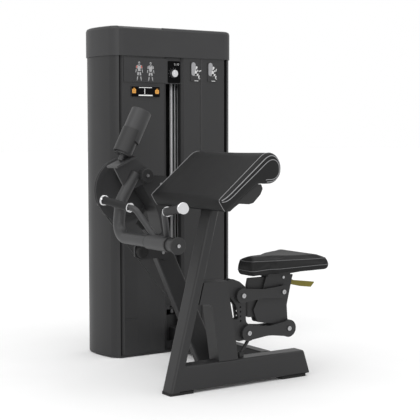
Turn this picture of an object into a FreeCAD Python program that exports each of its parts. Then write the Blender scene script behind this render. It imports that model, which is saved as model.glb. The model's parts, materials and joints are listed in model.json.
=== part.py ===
"""Biceps curl machine: weight tower, base, arm with counterweight, pad and seat.

Millimetres. While modelling, x runs to the right along the tower front, y runs back
into the tower, z is up, and the origin is the tower's front left foot.
At the end every piece moves so that the origin is the middle of the footprint.
"""
import FreeCAD, Part
import os
import math

os.makedirs("parts", exist_ok=True)

half_share = 0.5

# Tower
tower_width = 682
tower_depth = 318
tower_height = 1750
cap_height = 154
cap_bottom = tower_height - cap_height
cap_overhang = 5
cap_wall = 5
cap_roof = 8
cap_edge_radius = 16
shoulder_rise_share = 0.7
column_wall = 5
foot_height = 4
glide_margin = 50
glide_radius = 28
base_plate_top = 14
column_side = [(0, 4), (-20, 18), (-36, 44), (-50, 110), (-56, 177),
               (-52, 240), (-34, 296), (-20, 312), (0, 318)]
stack_x = 341
slot_left_reach = 50
slot_right_reach = 44
slot_left = stack_x - slot_left_reach
slot_right = stack_x + slot_right_reach
panel_margin = 10
panel_depth = 44
panel_sheet = 4
panel_bevel_depth = 14
panel_bevel = 12
panel_slot_bevel = 21
panel_fold_depth = 4
left_fold_start = 100
left_fold_middle = 182
right_fold_share = 0.4286
right_fold_half = 8
kick_line_height = 206
kick_line_width = 3
kick_line_depth = 2
sill_front = 16
sill_back = 22
sill_top = 60
number_plate_height = 140
number_plate_bottom = cap_bottom - number_plate_height
recess_right = 270
recess_depth = 26
recess_drop = 12
cap_seam_width = 3
cap_seam_depth = 3

# Tower frame
upright_width = 40
upright_front = 100
upright_back = 160
frame_wall = 4
low_bar_front = 75
low_bar_back = 150
low_bar_bottom = 165
low_bar_top = 195
high_bar_front = 90
high_bar_back = 270
high_bar_drop = 91
high_bar_height = 40
high_bar_top = cap_bottom - high_bar_drop
high_bar_bottom = high_bar_top - high_bar_height
panel_tab_shares = [0.17, 0.74]
panel_tab_size = 30
member_plate_left = 300
member_plate_right = 428
member_plate_front = 60
rear_cover_front = 308
rear_cover_thick = 5
rib_width = 30
rib_depth = 5
rib_shares = [0.235, 0.721]

# Stack
stack_y = 125
rod_spacing = 100
guide_rod_radius = 10
increment_rod_x = 394
thin_rod_x = 417
thin_rod_radius = 3.5
plate_half_width = 140
plate_half_depth = 73
plate_pitch = 29
plate_count = 11
plate_corner = 10
plate_edge_chamfer = 2
stack_bottom = 225
bumper_radius = 19
rod_clearance = 0.05
loose_clearance = 2
stem_radius = 12
stem_bottom = 238
stem_top = 640
pin_hole_radius = 5.5
pin_reach = 12
pin_knob_radius = 14
pin_knob_front = 18
pin_knob_back = 44

# Number plate and signs
dial_offset = 2
dial_x = stack_x - dial_offset
dial_drop = 85
dial_z = cap_bottom - dial_drop
dial_radius = 19
dial_front = -4
dial_rim_radius = 24
dial_rim_front = 10
dial_ridge = 4
sign_thick = 3
left_sign_shares = [(0.0498, 0.9893), (0.2028, 0.8363)]
left_sign_drops = [(137, 10), (213, 154)]
right_sign_shares = [(0.1916, 0.4007), (0.5749, 0.7700)]
right_sign_drop = (124, 20)
placard_corner = 6

# Base
seat_line = -836
beam_front = -878
beam_back = -793
beam_bottom = 12
beam_top = 130
beam_end_top = 529
beam_end_bottom = 568
beam_round = 12
tube_wall = 4
rubber_feet = [(-239, -103), (397, 552)]
foot_inset = 3
foot_round = 8
member_foot_front = -63
member_foot_back = -7
leg_left_bottom = -235
leg_lean_share = 0.2585
leg_width = 50
leg_top = 900
member_left = 335
member_right = 393
member_round = 8
post_front = -400
post_back = -350
post_wall = 5
post_round = 8
lean_edge_length = 500
post_outline = [(-52, 650), (236, 12), (335, 12), (335, 137), (302, 137), (56, 650)]
post_bore_outline = [(-44, 643), (243, 4), (300, 4), (296, 130), (52, 643)]
carrier_front = -395
carrier_back = -285
carrier_outline = [(-90, 988), (50, 980), (47, 780), (68, 650), (0, 650), (13, 707), (-3, 784),
                   (-22, 834), (-57, 879), (-100, 944)]
carrier_radii = [0, 14, 40, 0, 0, 30, 40, 40, 40, 0]
carrier_lug = [(0, 650), (56, 650), (91, 577), (35, 577)]
housing_radius = 48

# Arm
axle_x = -125
axle_z = 988
axle_radius = 17
bush_radius = 26
bush_share = 0.3
axle_front = -489
axle_back = -236
hub_radius = 33
hub_front = -489
hub_back = -400
arm_line = -455
arm_tube_radius = 28.5
arm_start = (-172, 1000)
arm_knee = (-252, 866)
arm_knee_bend = 90
arm_side_bend = 78
cross_z = 698
cross_x = -268
cross_end = -986
arm_bore = 24.5
arm_plug_length = 8
web_outline = [(-289, 1029.5), (-192, 1073), (-110, 1024), (-98, 960), (-170, 930), (-229, 924)]
web_half_thick = 6
web_round = 10
flange_points = [(-296, 1026), (-189, 1074), (-193, 1083), (-300, 1035)]
flange_front = -505
flange_back = -405
neck_radius = 14
neck_length = 30
weight_base = (-238, 1087)
weight_lean_degrees = 26.6
weight_low_radius = 40
weight_low_length = 75
weight_high_radius = 50
weight_length = 235
weight_edge = 3
skirt_wall = 3
skirt_length = 130
skirt_start = 8
end_cap_radius = 39
end_cap_length = 12
hub_cap_length = 6
cap_round = 3
bolt_radius = 8
bolt_height = 5

# Cam and cable
cam_x = -125
cam_z = 910
cam_radius = 158
cam_front = -270
cam_back = -250
cam_face_recess = 5
cam_rim = 22
cam_lip = 4
cam_hub_reach = 6
cam_hole_start_degrees = -20
cam_hole_step = -55
cam_hub_radius = 34
cam_hole_radius = 30
cam_hole_ring = 92
cam_hole_count = 5
cable_line = -260
cable_radius = 3
cable_clearance = 3
turn_point = (358, 62)
turn_radius = 40
pocket_half_width = 18
pocket_margin = 10
entry_length = 60
entry_radius = 9
pulley_half_width = 8
pulley_flange = 6
pulley_bore = 8
groove_flare = 1.6
cable_gap = 0.3
cheek_thick = 4
cheek_gap = 1
cheek_half_width = 16
low_pulley_radius = 45
rise_y = 250
top_pulley_rise = 115
top_pulley_height = high_bar_top + top_pulley_rise
wrap_angle = 14
anchor_half_length = 7
anchor_radius = 6
turn_bracket_length = 100
bracket_zone_front = -300
bracket_zone_back = -100
bracket_zone_bottom = 30
bracket_zone_reach = 100

# Handle
sleeve_half_length = 84
sleeve_radius = 34
sleeve_clearance = 0.06
handle_bar_radius = 14
handle_outer = (-361, 350, 878)
handle_inner = (-318, 125, 846)
handle_foot = (-262, 58, 728)
handle_bend = 45
grip_radius = 18.5
ring_radius = 22.5
ring_length = 6
disc_radius = 25
disc_face = 4
disc_length = 12
disc_chamfer = 1.5
grip_reach = 190
stop_collar_radius = 34
stop_collar_length = 8

# Stops by the post
stop_centre = (-118, 614)
stop_radius = 30
ribbed_radius = 17
ribbed_count = 6
ribbed_pitch = 7
ribbed_groove = 3
ribbed_gap = 2
ribbed_foot = (-109, 733)
ribbed_depth = 30
ribbed_lean_share = 0.98
stop_outline = [(-150, 640), (-118, 654), (10, 700), (60, 640), (40, 560), (-20, 576), (-118, 572),
                (-150, 590)]
stop_round = 10
stop_plate_thick = 12
stop_width = 36
stop_bevel = 6
stop_arm_outline = [(-10, 655), (-48, 655), (-118, 724), (-100, 742), (-30, 690)]
stop_arm_round = 4

# Pad
pad_front = -1141
pad_back = -531
pad_points = [(-144, 900), (195, 1181), (195, 964), (72, 964), (-107, 844)]
pad_radii = [8, 66, 64, 8, 8]
pad_end_steps = [(0, 22), (3, 13), (8, 6), (14, 1.6), (17, 0.4), (20, 2.2), (24, 0.3), (60, 0.1)]
pad_least_round = 3
shell_points = [(-100, 849), (-77, 849), (-50, 868), (-29, 881), (26, 877), (49, 882), (88, 918),
                (101, 944), (92, 964), (72, 964)]
shell_radii = [0, 6, 6, 12, 14, 12, 14, 10, 4, 0]
shell_cover_left = -200
shell_cover_top = 1200
shell_cover_points = ([(shell_cover_left, shell_points[1][1])] + shell_points[1:8]
                      + [(shell_points[7][0], shell_cover_top), (shell_cover_left, shell_cover_top)])
shell_cover_radii = [0] + shell_radii[1:7] + [0, 0, 0]
shell_end_gap = 24

# Seat
link_upper = (170, 428)
link_lower = (203, 247)
link_length = 238
link_thick = 18
link_front = -875
link_gap = 1
plate_thick = 10
upper_hub_radius = 36
upper_end_radius = 33
upper_waist = 22
lower_hub_radius = 38
lower_end_radius = 42
lower_waist = 22
pin_size = 8
pin_head_radius = 11
pin_head_height = 5
pin_reach_out = 4
pin_socket_radius = 5
link_bend = 200
link_shoulder_share = 0.93
open_pin_clearance = 1
lug_outline = [(60, 440), (84, 500), (122, 509), (160, 494), (200, 462), (204, 420), (194, 386), (198, 300),
               (230, 268), (230, 230), (202, 214), (159, 210), (100, 226), (100, 318), (156, 316), (145, 382),
               (112, 424)]
lug_radii = [0, 0, 10, 14, 20, 20, 30, 30, 16, 20, 14, 10, 0, 0, 6, 12, 8]
column_outline = [(-78, 405), (-8, 405), (32, 130), (140, 130), (111, 319), (88, 440), (88, 505), (-52, 505)]
column_radii = [0, 30, 0, 0, 60, 40, 10, 0]
carriage_outline = [(479, 507), (472, 487), (441, 360), (446, 290), (474, 262), (470, 214), (424, 214),
                    (404, 268), (332, 280), (264, 292), (242, 352), (268, 398), (298, 449), (317, 507)]
carriage_radii = [4, 10, 30, 20, 24, 24, 20, 20, 0, 12, 14, 20, 14, 4]
spreader_left = 330
spreader_right = 400
spreader_height = 20
ratchet_holes = [(165, 372), (166, 350), (166, 328), (167, 306)]
ratchet_hole_radius = 5
gas_foot = (177, 142)
gas_top = (250, 240)
gas_body_radius = 8
gas_rod_radius = 5
gas_body_share = 0.62
gas_eye_radius = 9
gas_pin_radius = 4
gas_eye_half = 7
gas_bore_start = 20
gas_rod_start = 46
gas_top_radius = 10
gas_play = 2
clevis_half = 14
clevis_thick = 5
clevis_reach = 12
clevis_rise = 10
gas_line = -836
lever_pivot = (419, 496)
lever_outline = [(409, 502), (432, 501), (495, 475), (627, 457), (603, 433), (536, 442), (480, 455),
                 (430, 478), (409, 482)]
lever_radii = [8, 14, 20, 3, 3, 30, 20, 10, 8]
lever_thick = 8
lever_front = seat_line - lever_thick * half_share
lever_pin_radius = 5
lever_head_radius = 6.5
lever_head_height = 4
column_step = 3
board_thick = 12
seat_tilt_degrees = 4.2
seat_nose = 212
seat_base_rise = 7
seat_base_height = carriage_outline[0][1] + seat_base_rise
cushion_outline = [(-14, -66), (84, -82), (112, -107), (366, -206), (366, 206), (112, 107), (84, 82),
                   (-14, 66)]
cushion_corner = 26
cushion_levels = [(0, 13), (7, 5), (16, 1.2), (28, 0), (44, 1), (60, 4), (76, 9)]
cushion_crown = [(76, 9), (83, 20), (88, 36), (90, 52)]
cushion_piping_level = 28
cushion_taper_share = 0.00082
cushion_least_round = 4
board_outline = [(92, -52), (280, -60), (280, 60), (92, 52)]
board_round = 14
wedge_left = 318
wedge_right = 462
latch_outline = [(214, 318), (300, 314), (330, 330), (330, 504), (222, 504), (214, 470)]
latch_round = 6
latch_side_gap = 1
frame_bolt_radius = 7
frame_bolt_height = 4
post_bolt_spots = [(10, 632), (10, 600)]
carrier_bolt_spots = [(20, 800), (10, 940)]

full_turn = 360


def point(x, y, z):
    return FreeCAD.Vector(x, y, z)


def box(x0, x1, y0, y1, z0, z1):
    return Part.makeBox(x1 - x0, y1 - y0, z1 - z0, point(x0, y0, z0))


def rounded_path(corners, radii, place):
    """Closed wire through the corners, each rounded with its own radius."""
    count = len(corners)
    if not isinstance(radii, list):
        radii = [radii] * count
    starts = []
    ends = []
    middles = []
    for i in range(count):
        here = FreeCAD.Vector(corners[i][0], corners[i][1], 0)
        before = FreeCAD.Vector(corners[i - 1][0], corners[i - 1][1], 0)
        after = FreeCAD.Vector(corners[(i + 1) % count][0], corners[(i + 1) % count][1], 0)
        back = (before - here).normalize()
        ahead = (after - here).normalize()
        if radii[i] > 0:
            half_angle = back.getAngle(ahead) * half_share
            reach = radii[i] / math.tan(half_angle)
            middle = here + (back + ahead).normalize() * (radii[i] / math.sin(half_angle) - radii[i])
            starts.append(here + back * reach)
            ends.append(here + ahead * reach)
            middles.append(middle)
        else:
            starts.append(here)
            ends.append(here)
            middles.append(None)
    edges = []
    for i in range(count):
        if middles[i] is not None:
            arc = Part.Arc(place(starts[i]), place(middles[i]), place(ends[i]))
            edges.append(arc.toShape())
        following = starts[(i + 1) % count]
        if ends[i].distanceToPoint(following) > rod_clearance:
            edges.append(Part.makeLine(place(ends[i]), place(following)))
    return Part.Wire(edges)


def plate_xz(corners, radii, y0, y1):
    wire = rounded_path(corners, radii, lambda v: point(v.x, y0, v.y))
    return Part.Face(wire).extrude(point(0, y1 - y0, 0))


def plate_xy(corners, radii, z0, z1):
    wire = rounded_path(corners, radii, lambda v: point(v.x, v.y, z0))
    return Part.Face(wire).extrude(point(0, 0, z1 - z0))


def plate_yz(corners, radii, x0, x1):
    wire = rounded_path(corners, radii, lambda v: point(x0, v.x, v.y))
    return Part.Face(wire).extrude(point(x1 - x0, 0, 0))


def rod(start, end, radius):
    axis = end - start
    return Part.makeCylinder(radius, axis.Length, start, axis)


def ring(start, end, outer, inner):
    return rod(start, end, outer).cut(rod(start, end, inner))


def along_y(x, z, y0, y1, radius):
    return rod(point(x, y0, z), point(x, y1, z), radius)


def ring_y(x, z, y0, y1, outer, inner):
    return ring(point(x, y0, z), point(x, y1, z), outer, inner)


def bent_bar(points, bends, radius):
    """Round bar along straight runs joined by bends."""
    edges = []
    start = points[0]
    for i in range(1, len(points) - 1):
        here = points[i]
        back = (points[i - 1] - here).normalize()
        ahead = (points[i + 1] - here).normalize()
        half_angle = back.getAngle(ahead) * half_share
        reach = bends[i - 1] / math.tan(half_angle)
        first = here + back * reach
        last = here + ahead * reach
        middle = here + (back + ahead).normalize() * (bends[i - 1] / math.sin(half_angle) - bends[i - 1])
        edges.append(Part.makeLine(start, first))
        edges.append(Part.Arc(first, middle, last).toShape())
        start = last
    edges.append(Part.makeLine(start, points[-1]))
    path = Part.Wire(edges)
    direction = points[1] - points[0]
    profile = Part.Wire(Part.makeCircle(radius, points[0], direction))
    return path.makePipeShell([profile], True, True)


def turned(profile, centre, axis):
    """Solid of revolution; the profile holds (radius, height) pairs, heights along the axis."""
    corners = [point(r, 0, h) for r, h in profile]
    corners.append(corners[0])
    body = Part.Face(Part.makePolygon(corners)).revolve(point(0, 0, 0), point(0, 0, 1), full_turn)
    turn = FreeCAD.Rotation(point(0, 0, 1), axis)
    body.Placement = FreeCAD.Placement(centre, turn)
    return body


def pulley(centre, axis, groove):
    edge = groove + pulley_flange
    profile = [(pulley_bore + rod_clearance, -pulley_half_width),
               (edge, -pulley_half_width),
               (edge, -cable_radius - groove_flare),
               (groove, -cable_radius - cable_gap),
               (groove, cable_radius + cable_gap),
               (edge, cable_radius + groove_flare),
               (edge, pulley_half_width),
               (pulley_bore + rod_clearance, pulley_half_width)]
    return turned(profile, centre, axis)


def axle_and_cheeks(centre, axis, toward, length):
    """Two side plates and the axle between them, the plates running toward their support."""
    turn = FreeCAD.Matrix()
    across = axis.cross(toward)
    inner = pulley_half_width + cheek_gap
    outer = inner + cheek_thick
    pieces = []
    for side in (-1, 1):
        low = min(side * inner, side * outer)
        plate = Part.makeBox(cheek_half_width + cheek_half_width, length + cheek_half_width, cheek_thick)
        plate.translate(point(-cheek_half_width, -cheek_half_width, low))
        turn = FreeCAD.Matrix(-across.x, toward.x, axis.x, centre.x,
                              -across.y, toward.y, axis.y, centre.y,
                              -across.z, toward.z, axis.z, centre.z,
                              0, 0, 0, 1)
        plate = plate.transformGeometry(turn)
        pieces.append(plate)
    axle = rod(centre - axis * outer, centre + axis * outer, pulley_bore)
    return pieces, axle


def inset(corners, distance):
    """The same convex outline with every side moved inward."""
    count = len(corners)
    area = 0
    for i in range(count):
        ax, ay = corners[i]
        bx, by = corners[(i + 1) % count]
        area = area + ax * by - bx * ay
    turn = 1 if area > 0 else -1
    moved = []
    for i in range(count):
        ax, ay = corners[i]
        bx, by = corners[(i + 1) % count]
        size = math.hypot(bx - ax, by - ay)
        nx = -(by - ay) / size * turn
        ny = (bx - ax) / size * turn
        moved.append((ax + nx * distance, ay + ny * distance, bx - ax, by - ay))
    result = []
    for i in range(count):
        px, py, dx, dy = moved[i - 1]
        qx, qy, ex, ey = moved[i]
        cross = dx * ey - dy * ex
        share = ((qx - px) * ey - (qy - py) * ex) / cross
        result.append((px + dx * share, py + dy * share))
    return result


def bolt_y(x, z, face_y, radius, height):
    """Button bolt head on a face that looks toward the front, with a round socket."""
    head = along_y(x, z, face_y - height, face_y, radius)
    head = head.makeFillet(height * half_share, [head.Edges[0], head.Edges[2]][:1])
    socket = along_y(x, z, face_y - height, face_y - height * half_share, radius * half_share)
    return head.cut(socket)


nodes = {}

# Tower
def side_wire(mirror, z):
    edges = []
    spots = []
    for x, y in column_side:
        spots.append(point(tower_width - x if mirror else x, y, z))
    for i in range(0, len(spots) - 2, 2):
        edges.append(Part.Arc(spots[i], spots[i + 1], spots[i + 2]).toShape())
    return edges, spots[0], spots[-1]


def column(mirror):
    edges, first, last = side_wire(mirror, foot_height)
    outer = Part.Face(Part.Wire(edges + [Part.makeLine(last, first)]))
    inner = outer.makeOffset2D(-column_wall)
    rise = point(0, 0, cap_bottom - foot_height)
    return outer.extrude(rise).cut(inner.extrude(rise))


nodes["left_column_cover"] = column(False)
nodes["right_column_cover"] = column(True)

base_plate = box(0, tower_width, 0, tower_depth, foot_height, base_plate_top)
frame = base_plate
for x0 in (0, tower_width - upright_width):
    outer = box(x0, x0 + upright_width, upright_front, upright_back, base_plate_top, cap_bottom)
    bore = box(x0 + frame_wall, x0 + upright_width - frame_wall, upright_front + frame_wall,
               upright_back - frame_wall, base_plate_top, cap_bottom)
    frame = frame.fuse(outer.cut(bore))
low_bar = box(0, tower_width, low_bar_front, low_bar_back, low_bar_bottom, low_bar_top)
member_plate = box(member_plate_left, member_plate_right, member_plate_front, low_bar_front,
                   base_plate_top, low_bar_top)
high_bar = box(0, tower_width, high_bar_front, high_bar_back, high_bar_bottom, high_bar_top)
frame = frame.fuse([low_bar, member_plate, high_bar])
for x0 in (0, tower_width - upright_width):
    for height in [tower_height * share for share in panel_tab_shares]:
        frame = frame.fuse(box(x0, x0 + upright_width, panel_depth, upright_front,
                               height, height + panel_tab_size))
for x0 in (slot_left - panel_tab_size, slot_right):
    frame = frame.fuse(box(x0, x0 + panel_tab_size, panel_depth, low_bar_front,
                           low_bar_bottom, low_bar_top))
    frame = frame.fuse(box(x0, x0 + panel_tab_size, panel_depth, high_bar_front,
                           high_bar_bottom, high_bar_top))
cable_hole = cable_radius + cable_clearance + cable_clearance
frame = frame.cut(rod(point(turn_point[0], member_plate_front, turn_point[1]),
                      point(turn_point[0], low_bar_front, turn_point[1]), cable_hole))
for hole_x, hole_y in ((stack_x, stack_y), (turn_point[0], rise_y)):
    frame = frame.cut(rod(point(hole_x, hole_y, high_bar_bottom), point(hole_x, hole_y, high_bar_top),
                          cable_hole))
member_cut = box(member_left, member_right, 0, member_plate_front, 0, beam_top)
frame = frame.cut(member_cut)
nodes["tower_frame"] = frame.removeSplitter()


def panel(left, right, left_bevel, right_bevel, fold_start, fold_middle, fold_end):
    """Folded sheet between two edges, with a shallow fold down its face."""
    outer = [(left, panel_depth), (left, panel_bevel_depth), (left + left_bevel, 0), (fold_start, 0),
             (fold_middle, panel_fold_depth), (fold_end, 0), (right - right_bevel, 0),
             (right, panel_bevel_depth), (right, panel_depth)]
    if fold_end > right - right_bevel - panel_sheet:
        del outer[-3]
    inner = []
    for x, y in outer:
        if y >= panel_bevel_depth:
            x = x + panel_sheet if x == left else x - panel_sheet
            y = y if y == panel_depth else y + panel_sheet * half_share
        else:
            y = y + panel_sheet
        inner.append((x, y))
    inner.reverse()
    return plate_xy(outer + inner, 0, base_plate_top, cap_bottom)


left_panel = panel(panel_margin, slot_left, panel_bevel, panel_slot_bevel, left_fold_start, left_fold_middle,
                   slot_left - panel_slot_bevel)
kick_line = box(panel_margin + panel_bevel, left_fold_start, 0, kick_line_depth,
                kick_line_height, kick_line_height + kick_line_width)
nodes["front_left_panel"] = left_panel.cut(kick_line)
right_panel_right = tower_width - panel_margin
right_fold_middle = slot_right + (right_panel_right - slot_right) * right_fold_share
right_panel = panel(slot_right, right_panel_right, panel_bevel, panel_bevel,
                    right_fold_middle - right_fold_half,
                    right_fold_middle, right_fold_middle + right_fold_half)
nodes["front_right_panel"] = right_panel.cut(member_cut)
sill = box(slot_left, slot_right, sill_front, sill_back, base_plate_top, sill_top).cut(member_cut)

rear = box(0, tower_width, rear_cover_front, rear_cover_front + rear_cover_thick,
           base_plate_top, cap_bottom)
for rib_x in [tower_width * share for share in rib_shares]:
    rib = box(rib_x, rib_x + rib_width, rear_cover_front + rear_cover_thick,
              rear_cover_front + rear_cover_thick + rib_depth, base_plate_top + rib_width,
              cap_bottom - rib_width)
    rear = rear.fuse(rib)
nodes["rear_cover"] = rear.removeSplitter()

left_edges, left_first, left_last = side_wire(False, cap_bottom)
right_edges, right_first, right_last = side_wire(True, cap_bottom)
front_left = point(panel_margin + panel_bevel, 0, cap_bottom)
front_right = point(right_panel_right - panel_bevel, 0, cap_bottom)
around = left_edges + [Part.makeLine(left_last, right_last)] + right_edges
around = around + [Part.makeLine(left_first, front_left), Part.makeLine(front_left, front_right),
                   Part.makeLine(front_right, right_first)]
tower_face = Part.Face(Part.Wire(Part.__sortEdges__(around)))
cap_face = tower_face.makeOffset2D(cap_overhang)
cap_body = cap_face.extrude(point(0, 0, tower_height - cap_bottom - cap_edge_radius))
shoulder_steps = [(0, 0), (cap_edge_radius * shoulder_rise_share,
                           cap_edge_radius * (1 - shoulder_rise_share)),
                  (cap_edge_radius, cap_edge_radius)]
shoulder_wires = []
for rise, draw_in in shoulder_steps:
    outline = tower_face.makeOffset2D(cap_overhang - draw_in)
    wire = outline.OuterWire.copy()
    wire.translate(point(0, 0, tower_height - cap_bottom - cap_edge_radius + rise))
    shoulder_wires.append(wire)
cap = cap_body.fuse(Part.makeLoft(shoulder_wires, True, True)).removeSplitter()
cap_hollow = tower_face.makeOffset2D(-cap_wall).extrude(point(0, 0, tower_height - cap_bottom - cap_roof))
cap = cap.cut(cap_hollow)
recess = plate_yz([(-cap_overhang, tower_height - recess_drop), (recess_depth, tower_height),
                   (-cap_overhang, tower_height)], 0, 0, recess_right)
cap = cap.cut(recess)
for seam_x in (0, tower_width):
    cap = cap.cut(box(seam_x, seam_x + cap_seam_width, -cap_overhang, -cap_overhang + cap_seam_depth,
                      cap_bottom, tower_height))
nodes["top_cap"] = cap

number_plate = box(slot_left, slot_right, sill_front, sill_back, number_plate_bottom, cap_bottom)
number_plate = number_plate.fuse(ring_y(dial_x, dial_z, dial_rim_front, sill_front, dial_rim_radius,
                                        dial_radius + loose_clearance * half_share))
dial_bore = dial_radius * half_share
number_plate = number_plate.cut(along_y(dial_x, dial_z, sill_front, sill_back, dial_bore))
nodes["slot_plates"] = Part.makeCompound([number_plate, sill])
dial = along_y(dial_x, dial_z, dial_front, sill_front, dial_radius)
dial = dial.fuse(along_y(dial_x, dial_z, sill_front, sill_back, dial_bore - rod_clearance))
ridge = box(dial_x - dial_ridge, dial_x + dial_ridge, dial_front - dial_ridge, dial_front,
            dial_z - dial_radius + dial_ridge, dial_z + dial_radius - dial_ridge)
nodes["selector_dial"] = dial.fuse(ridge).removeSplitter()

plates = []
sign_spots = []
for (left_share, right_share), drops in zip(left_sign_shares, left_sign_drops):
    width = slot_left - panel_margin
    sign_spots.append((panel_margin + width * left_share, panel_margin + width * right_share, drops))
for left_share, right_share in right_sign_shares:
    width = right_panel_right - slot_right
    sign_spots.append((slot_right + width * left_share, slot_right + width * right_share, right_sign_drop))
for x0, x1, (low_drop, high_drop) in sign_spots:
    z0 = cap_bottom - low_drop
    z1 = cap_bottom - high_drop
    plates.append(plate_xz([(x0, z0), (x1, z0), (x1, z1), (x0, z1)], placard_corner, -sign_thick, 0))
nodes["sign_plates"] = Part.makeCompound(plates)

tower_glides = []
for glide_x in (glide_margin, tower_width - glide_margin):
    for glide_y in (glide_margin, tower_depth - glide_margin):
        tower_glides.append(rod(point(glide_x, glide_y, 0), point(glide_x, glide_y, foot_height),
                                glide_radius))

# Weight stack
def upright(x, y, z0, z1, radius):
    return rod(point(x, y, z0), point(x, y, z1), radius)


rods = []
for rod_x, radius in ((stack_x - rod_spacing, guide_rod_radius), (stack_x + rod_spacing, guide_rod_radius),
                      (increment_rod_x, guide_rod_radius), (thin_rod_x, thin_rod_radius)):
    rods.append(upright(rod_x, stack_y, low_bar_top, high_bar_bottom, radius))
nodes["guide_rods"] = Part.makeCompound(rods)

rubber_rings = []
for rod_x in (stack_x - rod_spacing, stack_x + rod_spacing):
    rubber_rings.append(ring(point(rod_x, stack_y, low_bar_top), point(rod_x, stack_y, stack_bottom),
                             bumper_radius, guide_rod_radius + rod_clearance))
nodes["stack_bumpers"] = Part.makeCompound(rubber_rings)


def weight_plate(z0, z1, stem_hole):
    corners = [(stack_x - plate_half_width, stack_y - plate_half_depth),
               (stack_x + plate_half_width, stack_y - plate_half_depth),
               (stack_x + plate_half_width, stack_y + plate_half_depth),
               (stack_x - plate_half_width, stack_y + plate_half_depth)]
    block = plate_xy(corners, plate_corner, z0, z1)
    long_edges = [e for e in block.Edges if abs(e.BoundBox.ZMax - e.BoundBox.ZMin) < rod_clearance]
    block = block.makeChamfer(plate_edge_chamfer, long_edges)
    for hole_x, radius in ((stack_x - rod_spacing, guide_rod_radius + rod_clearance),
                           (stack_x + rod_spacing, guide_rod_radius + rod_clearance),
                           (increment_rod_x, guide_rod_radius + loose_clearance),
                           (thin_rod_x, thin_rod_radius + loose_clearance)):
        block = block.cut(upright(hole_x, stack_y, z0, z1, radius))
    if stem_hole:
        block = block.cut(upright(stack_x, stack_y, z0, z1, stem_radius + loose_clearance))
    middle = (z0 + z1) * half_share
    front = stack_y - plate_half_depth
    block = block.cut(along_y(stack_x, middle, front, stack_y, pin_hole_radius))
    return block


stack = []
for i in range(plate_count):
    z0 = stack_bottom + i * plate_pitch
    stack.append(weight_plate(z0, z0 + plate_pitch, True))
nodes["weight_plates"] = Part.makeCompound(stack)

head_bottom = stack_bottom + plate_count * plate_pitch
head_top = head_bottom + plate_pitch
head = weight_plate(head_bottom, head_top, False)
head = head.fuse(upright(stack_x, stack_y, stem_bottom, stem_top, stem_radius))
pin_z = (head_bottom + head_top) * half_share
for i in range(plate_count):
    hole_z = stack_bottom + i * plate_pitch + plate_pitch * half_share
    if hole_z > stem_bottom:
        head = head.cut(along_y(stack_x, hole_z, stack_y - stem_radius, stack_y + stem_radius,
                                pin_hole_radius))
pin_tip = stack_y + pin_reach
head = head.cut(along_y(stack_x, pin_z, stack_y - plate_half_depth, pin_tip + loose_clearance,
                        pin_hole_radius))
nodes["stack_head"] = head.removeSplitter()
pin = along_y(stack_x, pin_z, pin_knob_back, pin_tip, pin_hole_radius - rod_clearance)
knob = along_y(stack_x, pin_z, pin_knob_front, pin_knob_back, pin_knob_radius)
nodes["selector_pin"] = pin.fuse(knob).removeSplitter()

# Base
def beam_section(x):
    return [(beam_front, beam_bottom), (beam_back, beam_bottom), (beam_back, beam_top),
            (beam_front, beam_top)]


leg_bottom_x = leg_left_bottom + leg_lean_share * beam_bottom


def leg_solid(shrink, radius):
    left = leg_bottom_x + shrink
    right = leg_bottom_x + leg_width - shrink
    front = beam_front + shrink
    back = beam_back - shrink
    corners = [(left, front), (right, front), (right, back), (left, back)]
    wire = rounded_path(corners, radius, lambda v: point(v.x, v.y, beam_bottom))
    rise = leg_top - beam_bottom
    return Part.Face(wire).extrude(point(leg_lean_share * rise, 0, rise))


leg_outer = leg_solid(0, beam_round)
leg = leg_outer.cut(leg_solid(tube_wall, beam_round - tube_wall))
shell = plate_xz(shell_points, shell_radii, pad_front + shell_end_gap, pad_back - shell_end_gap)
shell_and_above = plate_xz(shell_cover_points, shell_cover_radii, pad_front, pad_back)
nodes["front_leg"] = leg.cut(shell_and_above)

beam_outer = plate_yz(beam_section(0), beam_round, leg_bottom_x, beam_end_bottom)
beam_bore = plate_yz(inset(beam_section(0), tube_wall), beam_round - tube_wall, leg_bottom_x, beam_end_bottom)
slant = plate_xz([(beam_end_top, beam_top), (beam_end_bottom, beam_bottom),
                  (beam_end_bottom + beam_round, beam_bottom), (beam_end_bottom + beam_round, beam_top)],
                 0, beam_front, beam_back)
left_of_leg = plate_xz([(leg_bottom_x - leg_width, beam_bottom),
                        (leg_bottom_x + leg_width * half_share, beam_bottom),
                        (leg_bottom_x + leg_width * half_share + leg_lean_share * beam_top, beam_top),
                        (leg_bottom_x - leg_width, beam_top)], 0, beam_front, beam_back)
slant_inner = slant.copy()
slant_inner.translate(point(-tube_wall, 0, 0))
beam = beam_outer.cut(beam_bore).cut(slant_inner).cut(leg_outer).cut(left_of_leg)
nodes["base_beam"] = beam
nodes["beam_end_cap"] = beam_outer.common(slant_inner).cut(slant)

member_section = [(member_left, beam_bottom), (member_right, beam_bottom), (member_right, beam_top),
                  (member_left, beam_top)]
member = plate_xz(member_section, member_round, beam_back, member_plate_front)
member = member.cut(plate_xz(inset(member_section, tube_wall), member_round - tube_wall, beam_back,
                             member_plate_front))



def tangent_line():
    """Cable line from the cam's left rim to the turning point over the floor."""
    dx = turn_point[0] - cam_x
    dz = turn_point[1] - cam_z
    distance = math.hypot(dx, dz)
    turn = math.asin(cam_radius / distance)
    angle = math.atan2(dz, dx) + turn
    run = math.sqrt(distance * distance - cam_radius * cam_radius)
    return math.cos(angle), math.sin(angle), run


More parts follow.
